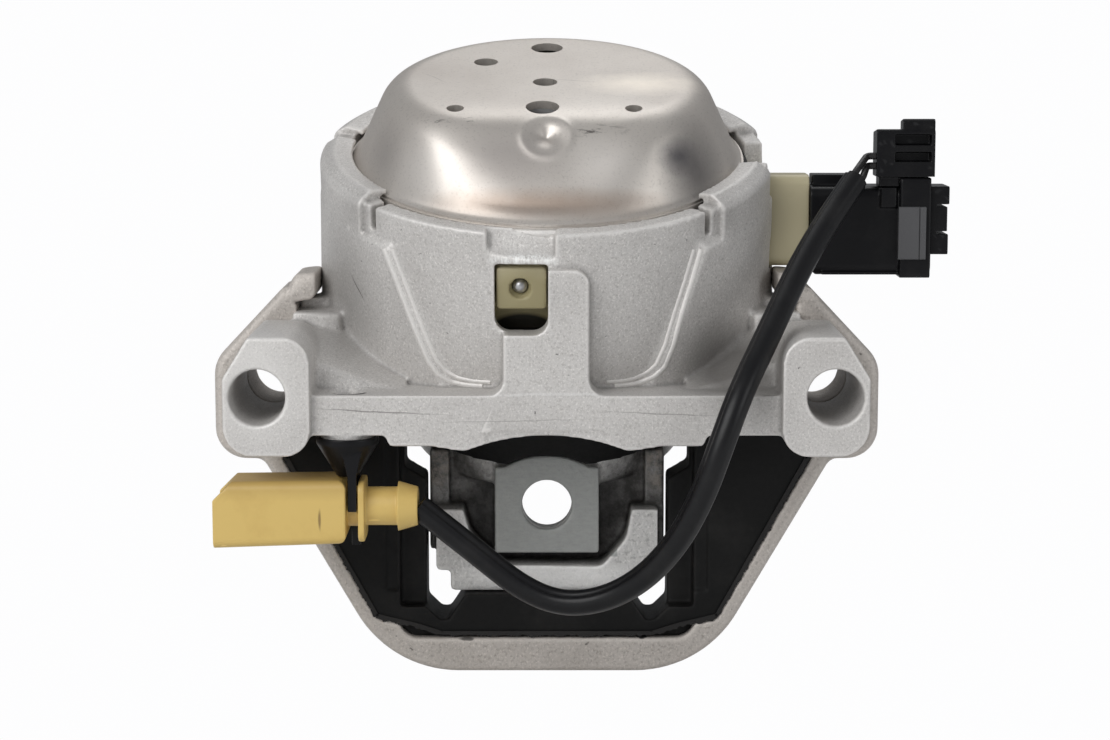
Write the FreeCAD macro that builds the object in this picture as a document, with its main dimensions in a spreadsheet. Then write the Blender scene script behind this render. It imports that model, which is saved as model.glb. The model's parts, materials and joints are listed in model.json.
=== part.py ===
import FreeCAD, Part
import Sketcher

import math
import os
import re

# Hydraulic engine mount with a switched actuator in its pot. All lengths are millimetres.
# Origin: middle of the two ear bores, on the ears' front faces. X runs from bore to bore,
# Y runs back along the bores and Z is up. The pot's own axis leans forward by pot_tilt.
os.makedirs("parts", exist_ok=True)
doc = FreeCAD.newDocument("EngineMount")

SIZES = [
    # Ears and their bolts
    ("ear_pitch", 138.0), ("ear_bore", 6.75), ("ear_length", 38.5), ("ear_outboard", 8.3),
    ("ear_inboard", 12.6), ("ear_half_height", 14.4), ("ear_round", 6.5), ("bore_chamfer", 0.4),
    # Pot: place and tilt of its rim plane, walls and window
    ("pot_tilt", 17.0), ("pot_back", 56.8), ("pot_rise", 54.6), ("pot_radius", 56.8),
    ("pot_wall", 4.8), ("pot_depth", 50.0), ("pot_draft", 1.2), ("flank_step", 1.6), ("flank_top", 6.5),
    ("flank_front", 17.5), ("collar_step", 1.4), ("rim_lip", 2.2), ("slot_width", 2.0), ("pot_floor", 2.0),
    ("pot_floor_bore", 46.5), ("lug_gap_angle", 4.0), ("window_width", 12.9),
    ("window_offset", 6.0), ("window_low", 14.6), ("window_round", 3.8), ("window_high", 31.4),
    ("chute_wide", 1.7),
    # Flange bar between the ears and its front column
    ("bar_front", 3.0), ("web_front", 13.3), ("bar_top", 0.1), ("bar_round", 3.5), ("bar_bottom", 9.7),
    ("bar_step", 2.6),
    ("bar_step_half", 38.7), ("arch_radius", 52.7), ("column_half", 10.4),
    ("column_high", 30.3), ("clip_hole", 3.5), ("clip_place", 48.2), ("clip_back", 9.5),
    # Cap
    ("cap_sheet", 2.0), ("cap_height", 20.5), ("cap_base", 48.6), ("cap_crown", 43.5),
    ("cap_round", 8.0), ("crease_round", 1.6), ("facet_crown", 27.4), ("facet_foot", 47.5), ("rim_play", 0.2),
    ("big_hole", 4.15), ("mid_hole", 3.1), ("small_hole", 2.15), ("dimple_radius", 5.6),
    ("dimple_depth", 1.7), ("dimple_drop", 5.4),
    # Stack inside the pot, from the rim plane down
    ("seal_thick", 1.2), ("ball_bore", 2.0), ("ball_seat", 2.6), ("carrier_bottom", 28.0),
    ("carrier_wall", 5.8), ("carrier_floor", 14.5),
    ("carrier_tube", 24.0), ("diaphragm_bead", 2.0), ("diaphragm_skin", 1.6),
    ("upper_plate", 4.0), ("lower_plate", 4.0), ("track_depth", 2.6), ("track_radius", 41.0),
    ("track_width", 6.0), ("plate_bore", 21.0), ("membrane_thick", 2.0), ("ring_wall", 3.4),
    # Actuator
    ("yoke_radius", 33.5), ("yoke_wall", 5.0), ("yoke_top", 10.0), ("yoke_bottom", 11.2),
    ("yoke_lid", 4.5), ("yoke_gap_bore", 23.4), ("magnet_radius", 17.0), ("magnet_thick", 7.0),
    ("pole_radius", 18.4), ("coil_wall", 1.2), ("winding_wall", 2.4), ("air_gap", 0.7),
    ("plunger_radius", 15.0), ("plunger_thick", 3.0), ("stem_radius", 3.0),
    # Main rubber spring and core
    ("spring_top", 46.0), ("spring_foot", 38.0), ("core_disc", 36.0), ("disc_level", 70.7),
    ("disc_thick", 7.5), ("relief_radius", 20.2), ("relief_level", 41.0), ("pad_top", 24.2),
    ("core_front", 42.8),
    ("core_thick", 13.0), ("core_half", 28.5), ("core_flank", 1.9), ("core_low", 56.5),
    ("core_waist", 35.3), ("core_bore", 6.4), ("bore_level", 34.1), ("bore_length", 7.0),
    ("bore_relief", 9.0), ("pad_half", 13.4),
    ("pad_low", 46.7), ("pocket_depth", 10.5), ("cheek_back", 97.0), ("cheek_wall", 5.0),
    # Ring bracket and its rubber liner
    ("ring_thick", 19.5), ("ring_edge", 1.2), ("ring_boss", 15.3), ("ring_low", 77.0), ("ring_top", 26.1),
    ("window_half", 38.0), ("window_floor", 68.0), ("liner_recess", 2.0), ("liner_gap", 0.4),
    ("liner_half", 31.0), ("liner_floor", 63.4), ("bump_half", 21.0), ("travel_gap", 0.3),
    # Plug on the pot, which stands upright on the tilted pot, and its wires
    ("socket_front", 51.5), ("socket_back", 64.5), ("socket_top", 50.0), ("socket_foot", 26.6),
    ("socket_reach", 10.5), ("socket_wall", 2.2), ("plug_length", 31.0), ("plug_front", 50.0),
    ("plug_back", 66.0), ("plug_top", 47.1), ("plug_foot", 24.4), ("plug_round", 2.6),
    ("wire_radius", 0.9), ("cable_radius", 3.25),
    # Far connector and its clip
    ("far_back", 10.0), ("far_level", 28.9), ("far_half_depth", 8.0), ("far_half_height", 8.3),
    ("fit_gap", 0.2),
]
sheet = doc.addObject("Spreadsheet::Sheet", "Sizes")
for row, (alias, value) in enumerate(SIZES, start=1):
    sheet.set("A%d" % row, alias)
    sheet.set("B%d" % row, str(value))
    sheet.setAlias("B%d" % row, alias)
doc.recompute()
NAMES = {alias for alias, value in SIZES}


class Sheet:
    """Reads a size from the spreadsheet by its alias."""

    def __getattr__(self, alias):
        return float(sheet.get(alias))


size = Sheet()
V = FreeCAD.Vector
X = V(1, 0, 0)
Y = V(0, 1, 0)
Z = V(0, 0, 1)
POT = FreeCAD.Placement(V(0, size.pot_back, size.pot_rise), FreeCAD.Rotation(X, size.pot_tilt))
WORLD = FreeCAD.Placement()
SOCKET_END = size.pot_radius + size.socket_reach
PLUG_END = SOCKET_END + size.plug_length
subparts = []


def bound(text):
    """Turns an expression in plain aliases into one that reads the spreadsheet."""
    return re.sub(r"[a-z][a-z_]*", lambda m: "Sizes." + m.group(0) if m.group(0) in NAMES else m.group(0),
                  text)


def keep(item, place=WORLD):
    """Labels a finished sub-part and remembers it for the export."""
    item.Placement = place
    subparts.append(item)
    return item


def feature(name, shape, place=WORLD):
    """A sub-part whose solid is worked out from the sheet; the place is set after the shape."""
    item = doc.addObject("Part::Feature", name)
    item.Label = name
    item.Shape = shape
    return keep(item, place)


def profile(body, role, name, points):
    """A closed outline on one of the body's own planes, each corner bound to the sheet."""
    sketch = body.newObject("Sketcher::SketchObject", name)
    plane = [item for item in body.Origin.OriginFeatures if item.Role == role][0]
    sketch.AttachmentSupport = [(plane, "")]
    sketch.MapMode = "FlatFace"
    count = len(points)
    rough = [V(10.0 + 3 * i, (i * i) % 7 + i, 0) for i in range(count)]
    for i in range(count):
        sketch.addGeometry(Part.LineSegment(rough[i], rough[(i + 1) % count]), False)
    for i in range(count):
        sketch.addConstraint(Sketcher.Constraint("Coincident", i, 2, (i + 1) % count, 1))
    for i, (across, up) in enumerate(points):
        for kind, expression in (("DistanceX", across), ("DistanceY", up)):
            index = sketch.addConstraint(Sketcher.Constraint(kind, -1, 1, i, 1, 1.0 + i))
            sketch.setExpression("Constraints[%d]" % index, bound(expression))
    return sketch


def turned_body(name, points, place=POT):
    """A PartDesign body turned about its own Z axis from an outline of radius and height."""
    body = doc.addObject("PartDesign::Body", name)
    body.Label = name
    sketch = profile(body, "XZ_Plane", name + "_outline", points)
    turn = body.newObject("PartDesign::Revolution", name + "_turn")
    turn.Profile = sketch
    turn.ReferenceAxis = (sketch, ["V_Axis"])
    turn.Angle = 360
    doc.recompute()
    return keep(body, place)


def polygon(points, plane="XZ"):
    """A flat face from corners in one of the frame's planes."""
    if plane == "XZ":
        corners = [V(a, 0, b) for a, b in points]
    else:
        corners = [V(a, b, 0) for a, b in points]
    return Part.Face(Part.makePolygon(corners + corners[:1]))


def prism(points, near, far):
    """A solid of an X-Z outline that runs along Y from near to far."""
    face = polygon(points)
    face.translate(V(0, near, 0))
    return face.extrude(V(0, far - near, 0))


def block(x0, x1, y0, y1, z0, z1):
    return Part.makeBox(x1 - x0, y1 - y0, z1 - z0, V(x0, y0, z0))


def rod(radius, start, end):
    """A cylinder between two points."""
    return Part.makeCylinder(radius, (end - start).Length, start, end - start)


def tube(outer, inner, low, high):
    """A ring about the Z axis."""
    body = Part.makeCylinder(outer, high - low, V(0, 0, low))
    return body.cut(Part.makeCylinder(inner, high - low, V(0, 0, low)))


def turned(points):
    """A solid turned about Z from an outline of radius and height."""
    return polygon(points).revolve(V(0, 0, 0), Z, 360)


def moved(shape, place=POT):
    """The shape carried from its own frame into the frame of the mount."""
    copy = shape.copy()
    copy.Placement = place.multiply(copy.Placement)
    return copy


def fused(pieces):
    return pieces[0].multiFuse(pieces[1:]).removeSplitter()


def rounded(shape, radius, chosen):
    """Rounds the edges whose middle points pass the test."""
    edges = [edge for edge in shape.Edges if chosen(edge)]
    return shape.makeFillet(radius, edges) if edges else shape


def middle(edge):
    return edge.valueAt((edge.FirstParameter + edge.LastParameter) / 2)


def along(edge, axis):
    """True for a straight edge that runs along the axis."""
    if edge.Curve.TypeId != "Part::GeomLine":
        return False
    return abs(abs(edge.Curve.Direction.dot(axis)) - 1) < 1e-6


def both_sides(points):
    """Mirrors a right-hand outline, given from top to bottom, to a whole one."""
    return points + [(-point[0],) + tuple(point[1:]) for point in reversed(points)]


def soft_wire(corners):
    """A closed X-Z wire through corners of (x, z, radius), each rounded by a tangent arc."""
    places = [V(corner[0], 0, corner[1]) for corner in corners]
    stretches = []
    for i, (here, corner) in enumerate(zip(places, corners)):
        back = (places[i - 1] - here).normalize()
        ahead = (places[(i + 1) % len(places)] - here).normalize()
        if corner[2] <= 0:
            stretches.append((here, None, here))
            continue
        half_turn = (math.pi - back.getAngle(ahead)) / 2
        reach = corner[2] * math.tan(half_turn)
        inward = (back + ahead).normalize()
        mid = here + inward * (corner[2] / math.cos(half_turn) - corner[2])
        stretches.append((here + back * reach, mid, here + ahead * reach))
    edges = []
    for i, (enter, mid, leave) in enumerate(stretches):
        if mid is not None:
            edges.append(Part.Arc(enter, mid, leave).toShape())
        following = stretches[(i + 1) % len(stretches)][0]
        if (following - leave).Length > 1e-6:
            edges.append(Part.makeLine(leave, following))
    return Part.Wire(edges)


def soft_prism(corners, near, far):
    """A solid of an X-Z outline with rounded corners, from near to far along Y."""
    face = Part.Face(soft_wire(corners))
    face.translate(V(0, near, 0))
    return face.extrude(V(0, far - near, 0))


# Housing

def ear(side):
    """One ear: a long eye with rounded inner corners and a slanted outer top corner."""
    centre = size.ear_pitch / 2
    outer = centre + size.ear_outboard
    inner = centre - size.ear_inboard
    half = size.ear_half_height
    outline = [(inner, -half), (outer, -half), (outer, half * 0.3), (outer - 6.2, half), (inner, half)]
    solid = prism([(side * a, b) for a, b in outline], 0, size.ear_length)
    inner_corner = size.ear_round
    solid = rounded(solid, inner_corner, lambda e: along(e, Y) and abs(middle(e).x) < centre - 5)
    return rounded(solid, inner_corner + 1, lambda e: along(e, Y) and middle(e).z < -half + 0.1
                   and abs(middle(e).x) > centre + 5)


def ear_root(side):
    """The web that sweeps from an ear up to the pot, and the small block behind it."""
    inner = size.ear_pitch / 2 - size.ear_inboard + 1.5
    low = -size.bar_bottom + 1
    floor = size.bar_top - 0.3
    high = size.ear_half_height
    sections = [
        (size.web_front, (floor, floor, floor, floor)),
        (size.web_front + 1, (high * 0.56, high * 0.39, high * 0.18, floor + 0.1)),
        (size.ear_length - 0.2, (high - 1, high * 0.86, high * 0.62, high * 0.3))]
    across = (inner, inner - 5.4, inner - 12.4, inner - 23.4)
    wires = []
    for back, heights in sections:
        corners = [V(across[0], back, low)] + [V(a, back, b) for a, b in zip(across, heights)]
        corners.append(V(across[3], back, low))
        wires.append(Part.makePolygon(corners + corners[:1]))
    web = Part.makeLoft(wires, True, True)
    tab = block(size.pot_radius - 5, size.pot_radius + 5.8, 45.5, size.ear_length + size.ring_thick - 0.5,
                15.4, 19.0)
    tab = rounded(tab, 1.0, lambda e: along(e, Y))
    foot = block(size.pot_radius - 5, inner + 6, size.ear_length - 3, 46.5, 10.4, 16.4)
    root = fused([web, tab, foot])
    return root if side > 0 else root.mirror(V(0, 0, 0), X)


def pot_outside():
    """The pot's outer form: barrel, proud flanks behind the parting plane, and crimp lugs."""
    radius = size.pot_radius
    foot = radius + size.pot_draft
    barrel = moved(turned([(0, -size.pot_depth), (foot, -size.pot_depth), (radius, -size.flank_top),
                           (radius, 0.6),
                           (0, 0.6)]))
    shell = moved(turned([(radius - 2, -size.pot_depth), (foot + size.flank_step, -size.pot_depth),
                          (radius + size.flank_step, -size.flank_top - size.flank_step),
                          (radius - 2, -size.flank_top + 2)]))
    behind = block(-100, 100, size.flank_front, 200, -100, 100)
    return fused([barrel, shell.common(behind)])


def crimp_lugs():
    """Lugs round the rim that are folded over the cap's flange, all but the front one."""
    gap = size.lug_gap_angle
    inner = size.pot_radius - size.pot_wall
    low = -size.flank_top - 0.8
    outer = size.pot_radius + size.collar_step
    outline = [(inner - size.rim_lip, 1.0), (inner + 1, 1.0), (inner + 1, low), (outer, low), (outer, 0.2),
               (outer - 0.8, 1.4), (inner + 2.5, 3.2), (inner - size.rim_lip, 2.4)]
    face = polygon(outline)
    lugs = []
    for start, end in ((-43, -12), (16, 66), (74, 124), (132, 166), (172, 219)):
        piece = face.copy()
        piece.rotate(V(0, 0, 0), Z, start + gap / 4)
        lugs.append(piece.revolve(V(0, 0, 0), Z, end - start - gap / 2))
    return moved(fused(lugs))


def rim_slots():
    """Slots that part the folded lugs from the plain front of the rim."""
    slots = []
    for angle in (-46.0, -138.5):
        slot = block(size.pot_radius - size.pot_wall - 1, size.pot_radius + 4, -size.slot_width / 2,
                     size.slot_width / 2, -5.6, 5)
        slot.rotate(V(0, 0, 0), Z, angle)
        slots.append(moved(slot))
    return slots


def bar():
    """The bar between the ears, with its lower step, clip boss and the column on the pot."""
    inner = size.ear_pitch / 2 - size.ear_inboard
    back = size.ear_length
    plate = block(-inner - 1, inner + 1, size.bar_front + 5, back, -size.bar_bottom, size.bar_top)
    low = -size.bar_bottom - size.bar_step
    half = size.column_half
    top = size.bar_top
    front = soft_prism(both_sides([(half, size.column_high, 4.0), (half, top, size.bar_round),
                                   (inner + 1, top, 0),
                                   (inner + 1, -size.bar_bottom, 0),
                                   (size.bar_step_half, -size.bar_bottom, 1.0),
                                   (size.bar_step_half - 1.0, low, 1.5), (27.5, low, 4.0),
                                   (20.5, low - 1.1, 0)]),
                       size.bar_front, size.bar_front + 14)
    boss = Part.makeCylinder(size.clip_hole + 3, 2.1 + size.bar_bottom,
                             V(-size.clip_place, size.clip_back, -size.bar_bottom - 2.1))
    return [plate, front, boss]


def housing():
    solid = fused([pot_outside(), crimp_lugs()] + bar() + [ear(1), ear(-1), ear_root(1), ear_root(-1)])
    inner = size.pot_radius - size.pot_wall
    stack = Part.makeCylinder(inner, size.pot_depth - size.pot_floor + 0.9,
                              V(0, 0, size.pot_floor - size.pot_depth))
    mouth = Part.makeCylinder(size.pot_floor_bore, 40, V(0, 0, -size.pot_depth - 30))
    relief = turned([(0, -size.pot_depth - 30), (size.pot_floor_bore + 1, -size.pot_depth - 30),
                     (size.pot_floor_bore + 1, -size.pot_depth), (0, -size.pot_depth)])
    low = -size.window_low
    socket = block(inner - 4, inner + 20, size.socket_front - 0.5, size.socket_back + 0.5,
                   size.socket_foot - 0.5, 80)
    cuts = [moved(stack), moved(mouth), moved(relief), socket] + rim_slots()
    left = -size.window_offset - size.window_width / 2
    window = block(left, left + size.window_width, -20, size.bar_front + 14, size.window_low,
                   size.window_high)
    window = rounded(window, size.window_round, lambda e: along(e, Y) and middle(e).z < size.window_low + 0.1)
    chute = Part.makeCylinder(9.0, size.window_width + 2 * size.chute_wide,
                              V(left - size.chute_wide, -1.5, size.window_high + 8.0), X)
    cuts += [window, chute]
    arch_centre = -size.bar_bottom - size.arch_radius
    cuts.append(rod(size.arch_radius, V(0, size.bar_front - 5, arch_centre),
                    V(0, size.bar_front + 16, arch_centre)))
    mark = block(-15, 15, size.bar_front - 1, size.bar_front + 0.4, -14, -8.4)
    cuts.append(rounded(mark, 1.5, lambda e: along(e, Y) and middle(e).z > -9))
    for side in (-1, 1):
        centre = side * size.ear_pitch / 2
        cuts.append(rod(size.ear_bore, V(centre, -1, 0), V(centre, size.ear_length + 1, 0)))
        flare = Part.makeCone(size.ear_bore + size.bore_chamfer, size.ear_bore, size.bore_chamfer,
                              V(centre, 0, 0), Y)
        cuts.append(flare)
    cuts.append(Part.makeCylinder(size.clip_hole, 40, V(-size.clip_place, size.clip_back, -30)))
    for tool in cuts:
        solid = solid.cut(tool)
    return solid.removeSplitter()


feature("housing", housing())


# Cap and what it closes

def cap():
    """The drawn steel cap: flange, round wall, flat crown and a flat facet on its front."""
    rim = size.pot_radius - size.pot_wall - size.rim_play
    sheet_thick = size.cap_sheet
    high = size.cap_height

    def bell(offset):
        top = high - offset
        bend = size.cap_round - offset
        wide = size.cap_crown - offset
        foot = size.cap_base - offset
        low = V(foot, 0, -sheet_thick)
        knee = V(wide, 0, top - bend)
        crown = V(wide - bend, 0, top)
        swing = V(wide - bend + bend * math.sin(math.pi / 4), 0, top - bend + bend * math.sin(math.pi / 4))
        edges = [Part.makeLine(V(0, 0, -sheet_thick), low), Part.makeLine(low, V(foot, 0, 1.5)),
                 Part.makeLine(V(foot, 0, 1.5), knee), Part.Arc(knee, swing, crown).toShape(),
                 Part.makeLine(crown, V(0, 0, top)), Part.makeLine(V(0, 0, top), V(0, 0, -sheet_thick))]
        form = Part.Face(Part.Wire(edges)).revolve(V(0, 0, 0), Z, 360)
        slope = math.atan2(high - 3.0, size.facet_foot - size.facet_crown)
        cutter = Part.makeBox(200, 80, 80, V(-100, -80, 0))
        cutter.rotate(V(0, 0, 0), X, math.degrees(slope))
        inset = V(0, math.sin(slope), -math.cos(slope)) * offset
        cutter.translate(V(0, -size.facet_crown, high) + inset)
        form = form.cut(cutter)
        if offset > 0:
            return form
        return rounded(form, size.crease_round, lambda e: on_facet(e, slope))

    def on_facet(edge, slope):
        """True for an edge whose points all lie in the facet's plane."""
        first, last = edge.FirstParameter, edge.LastParameter
        for share in (0.2, 0.5, 0.8):
            point = edge.valueAt(first + (last - first) * share)
            rise = (point.z - high) * math.cos(slope)
            if abs(rise - (point.y + size.facet_crown) * math.sin(slope)) > 1e-3:
                return False
        return True

    outside = bell(0)
    inside = bell(sheet_thick)
    flange = tube(rim, size.cap_base - sheet_thick, -sheet_thick, 0)
    edge = rim - size.rim_lip + 0.1
    low_end = V(edge, 0, 0.8)
    high_end = V(size.cap_base - 0.9, 0, 4.6)
    bend = V(size.cap_base - 0.3, 0, 1.9)
    flare_edges = [Part.makeLine(V(edge, 0, -0.5), low_end), Part.Arc(low_end, bend, high_end).toShape(),
                   Part.makeLine(high_end, V(size.cap_base - 2, 0, 4.6)),
                   Part.makeLine(V(size.cap_base - 2, 0, 4.6), V(size.cap_base - 2, 0, -0.5)),
                   Part.makeLine(V(size.cap_base - 2, 0, -0.5), V(edge, 0, -0.5))]
    bead = Part.Face(Part.Wire(flare_edges)).revolve(V(0, 0, 0), Z, 360)
    solid = fused([outside, flange, bead]).cut(inside)
    top = high - 3
    holes = [(0.0, 26.7, size.big_hole), (-15.8, 14.7, size.mid_hole), (-0.4, -1.8, size.mid_hole),
             (-1.0, -20.6, size.big_hole), (-22.5, -21.6, size.small_hole), (21.5, -21.6, size.small_hole)]
    for across, back, radius in holes:
        solid = solid.cut(Part.makeCylinder(radius, 10, V(across, back, top - 2)))
    slope = math.atan2(high - 3.0, size.facet_foot - size.facet_crown)
    normal = V(0, -math.sin(slope), math.cos(slope))
    spot = V(0, -size.facet_crown - size.dimple_drop, high - size.dimple_drop * math.tan(slope))
    reach = size.dimple_radius
    sink = size.dimple_depth
    bowl = turned([(0, -sink), (reach * 0.45, -sink), (reach * 0.8, -sink * 0.55), (reach, 0.05), (reach, 3),
                   (0, 3)])
    under = turned([(0, -sink - sheet_thick), (reach * 0.6, -sink - sheet_thick), (reach + 0.8, -sheet_thick),
                    (reach + 0.8, -sheet_thick / 2), (0, -sheet_thick / 2)])
    seat = FreeCAD.Placement(spot, FreeCAD.Rotation(Z, normal))
    return solid.fuse(moved(under, seat)).cut(moved(bowl, seat)).removeSplitter()


feature("cap", cap(), POT)

turned_body("cap_seal", [
    ("pot_radius - pot_wall - 3.4", "-cap_sheet - seal_thick"),
    ("pot_radius - pot_wall - rim_play", "-cap_sheet - seal_thick"),
    ("pot_radius - pot_wall - rim_play", "-cap_sheet"),
    ("pot_radius - pot_wall - 3.4", "-cap_sheet")])


def pin_start():
    return size.pot_radius - size.pot_wall - 3.2


PIN_LEVELS = (42.0, 34.0)
PIN_SIZE = (14.0, 2.8, 0.8)
BALL_LEVEL = -14.4
TAB_LOW = -19.8


def pin_room(play):
    """The room that the two terminal pins take, with play on every side."""
    length, width, height = PIN_SIZE
    start = pin_start()
    middle_line = (size.socket_front + size.socket_back) / 2
    return [block(start - play, start + length + play, middle_line - width / 2 - play,
                  middle_line + width / 2 + play, level - play,
                  level + height + play) for level in PIN_LEVELS]


def carrier():
    """The moulded nylon carrier: outer wall, floor under the yoke, window tab and socket."""
    rim = size.pot_radius - size.pot_wall - size.rim_play
    top = -size.cap_sheet - size.seal_thick
    low = -size.carrier_bottom
    floor_low = -size.carrier_floor
    floor_top = -size.yoke_bottom
    inside = rim - size.carrier_wall
    nest = size.yoke_radius + size.fit_gap
    neck = size.carrier_tube
    outline = [(rim, low), (rim, top), (inside, top), (inside, floor_top), (nest + 2.4, floor_top),
               (nest + 2.4, -4),
               (nest, -4), (nest, floor_top), (neck, floor_top), (neck, low), (neck + 3, low),
               (neck + 3, floor_low),
               (inside, floor_low), (inside, low)]
    solid = turned(outline)
    socket = block(inside + 3, SOCKET_END, size.socket_front, size.socket_back, size.socket_foot,
                   size.socket_top)
    socket = rounded(socket, 2.4, lambda e: along(e, X))
    socket = moved(socket, POT.inverse()).cut(Part.makeCylinder(rim + 0.3, 8, V(0, 0, low - 8)))
    solid = solid.fuse(socket)
    for turn in range(0, 360, 60):
        rib = block(nest + 1.2, inside + 1, -1.2, 1.2, floor_low + 1, -6)
        rib.rotate(V(0, 0, 0), Z, turn + 30)
        solid = solid.fuse(rib)
    wall = size.socket_wall
    throat = block(rim + 4.5, SOCKET_END + 1, size.socket_front + wall, size.socket_back - wall,
                   size.socket_foot + wall, size.socket_top - wall)
    throat = moved(throat, POT.inverse())
    left = -size.window_offset - size.window_width / 2
    below = block(left, left + size.window_width, -rim - 1, -rim + size.carrier_wall - 1.4, low - 1,
                  TAB_LOW + 0.1)
    solid = solid.cut(below)
    tab = block(left + 0.4, left + size.window_width - 0.4, -rim - 2.2, -rim + 4, TAB_LOW, -8.9)
    solid = solid.fuse(rounded(tab, 1.0, lambda e: along(e, Y)))
    eye = V(-size.window_offset - 0.3, -rim - 4, BALL_LEVEL)
    for room in pin_room(0):
        solid = solid.cut(moved(room, POT.inverse()))
    seat = eye + Y * 3.6
    solid = solid.cut(throat).cut(rod(size.ball_seat, eye, seat))
    return solid.cut(rod(size.ball_bore, eye, eye + Y * 7)).removeSplitter()


feature("terminal_carrier", carrier(), POT)

ball = doc.addObject("Part::Sphere", "sealing_ball")
ball.Label = "sealing_ball"
ball.setExpression("Radius", "Sizes.ball_bore - Sizes.fit_gap / 2")
keep(ball, POT.multiply(FreeCAD.Placement(
    V(-size.window_offset - 0.3, -(size.pot_radius - size.pot_wall - size.rim_play) + 0.4, BALL_LEVEL),
    FreeCAD.Rotation())))

turned_body("rolling_diaphragm", [
    ("carrier_tube - 2", "-carrier_bottom - diaphragm_bead"),
    ("carrier_tube + 4 + diaphragm_skin", "-carrier_bottom - diaphragm_bead"),
    ("carrier_tube + 9 + diaphragm_skin", "-carrier_bottom + 5 - diaphragm_skin"),
    ("pot_radius - pot_wall - rim_play - carrier_wall - 3 - diaphragm_skin",
     "-carrier_bottom + 5 - diaphragm_skin"),
    ("pot_radius - pot_wall - rim_play - carrier_wall - diaphragm_skin", "-carrier_bottom - diaphragm_bead"),
    ("pot_radius - pot_wall - rim_play", "-carrier_bottom - diaphragm_bead"),
    ("pot_radius - pot_wall - rim_play", "-carrier_bottom"),
    ("pot_radius - pot_wall - rim_play - carrier_wall", "-carrier_bottom"),
    ("pot_radius - pot_wall - rim_play - carrier_wall - 3", "-carrier_bottom + 5"),
    ("carrier_tube + 9", "-carrier_bottom + 5"),
    ("carrier_tube + 3", "-carrier_bottom"),
    ("carrier_tube - 2", "-carrier_bottom")])

PLATE_TOP = -size.carrier_bottom - size.diaphragm_bead
LOWER_TOP = PLATE_TOP - size.upper_plate
RING_TOP = LOWER_TOP - size.lower_plate

turned_body("spring_outer_ring", [
    ("pot_radius - pot_wall - rim_play - ring_wall", "-pot_depth + pot_floor"),
    ("pot_radius - pot_wall - rim_play", "-pot_depth + pot_floor"),
    ("pot_radius - pot_wall - rim_play", "-carrier_bottom - diaphragm_bead - upper_plate - lower_plate"),
    ("pot_radius - pot_wall - rim_play - ring_wall",
     "-carrier_bottom - diaphragm_bead - upper_plate - lower_plate")])


def nozzle_plate(top, bottom, upper):
    """One half of the nozzle plate, with the inertia track's ports and the membrane's seat."""
    rim = size.pot_radius - size.pot_wall - size.rim_play
    solid = tube(rim, size.plate_bore - 3, bottom, top)
    half_seat = size.membrane_thick / 2
    joint = bottom if upper else top
    seat = tube(size.plate_bore + 3, 1, joint - half_seat, joint + half_seat)
    solid = solid.cut(seat)
    if not upper:
        track = tube(size.track_radius + size.track_width / 2, size.track_radius - size.track_width / 2,
                     top - size.track_depth, top)
        dam = block(size.track_radius - 6, size.track_radius + 6, -2, 2, bottom, top)
        solid = solid.cut(track.cut(dam))
    port_angle = 12 if upper else -12
    port = Part.makeCylinder(size.track_width / 2, top - bottom + 2, V(size.track_radius, 0, bottom - 1))
    port.rotate(V(0, 0, 0), Z, port_angle)
    return solid.cut(port)


feature("nozzle_plate_upper", nozzle_plate(PLATE_TOP, LOWER_TOP, True), POT)
feature("nozzle_plate_lower", nozzle_plate(LOWER_TOP, RING_TOP, False), POT)

MEMBRANE_LEVEL = "-carrier_bottom - diaphragm_bead - upper_plate"
turned_body("decoupler_membrane", [
    ("plunger_radius", MEMBRANE_LEVEL + " - membrane_thick / 2"),
    ("plate_bore + 3", MEMBRANE_LEVEL + " - membrane_thick / 2"),
    ("plate_bore + 3", MEMBRANE_LEVEL + " + membrane_thick / 2"),
    ("plunger_radius", MEMBRANE_LEVEL + " + membrane_thick / 2")])

turned_body("actuator_yoke", [
    ("yoke_gap_bore", "-yoke_bottom"), ("yoke_radius", "-yoke_bottom"), ("yoke_radius", "yoke_top - 1"),
    ("yoke_radius - 1", "yoke_top"), ("0", "yoke_top"), ("0", "yoke_top - yoke_lid"),
    ("yoke_radius - yoke_wall", "yoke_top - yoke_lid"), ("yoke_radius - yoke_wall", "-yoke_bottom + 9"),
    ("yoke_gap_bore", "-yoke_bottom + 9")])

turned_body("actuator_magnet", [
    ("0", "yoke_top - yoke_lid - magnet_thick"), ("magnet_radius", "yoke_top - yoke_lid - magnet_thick"),
    ("magnet_radius", "yoke_top - yoke_lid"), ("0", "yoke_top - yoke_lid")])

turned_body("pole_piece", [
    ("0", "-yoke_bottom"), ("pole_radius", "-yoke_bottom"),
    ("pole_radius", "yoke_top - yoke_lid - magnet_thick"), ("0", "yoke_top - yoke_lid - magnet_thick")])

turned_body("coil_bobbin", [
    ("stem_radius", "-yoke_bottom - 4.6"), ("pole_radius + air_gap + coil_wall", "-yoke_bottom - 4.6"),
    ("pole_radius + air_gap + coil_wall", "-yoke_bottom + 9"), ("pole_radius + air_gap", "-yoke_bottom + 9"),
    ("pole_radius + air_gap", "-yoke_bottom - 2.4"), ("stem_radius", "-yoke_bottom - 2.4")])

turned_body("coil_winding", [
    ("pole_radius + air_gap + coil_wall", "-yoke_bottom - 2.4"),
    ("pole_radius + air_gap + coil_wall + winding_wall", "-yoke_bottom - 2.4"),
    ("pole_radius + air_gap + coil_wall + winding_wall", "-yoke_bottom + 8"),
    ("pole_radius + air_gap + coil_wall", "-yoke_bottom + 8")])

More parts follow.
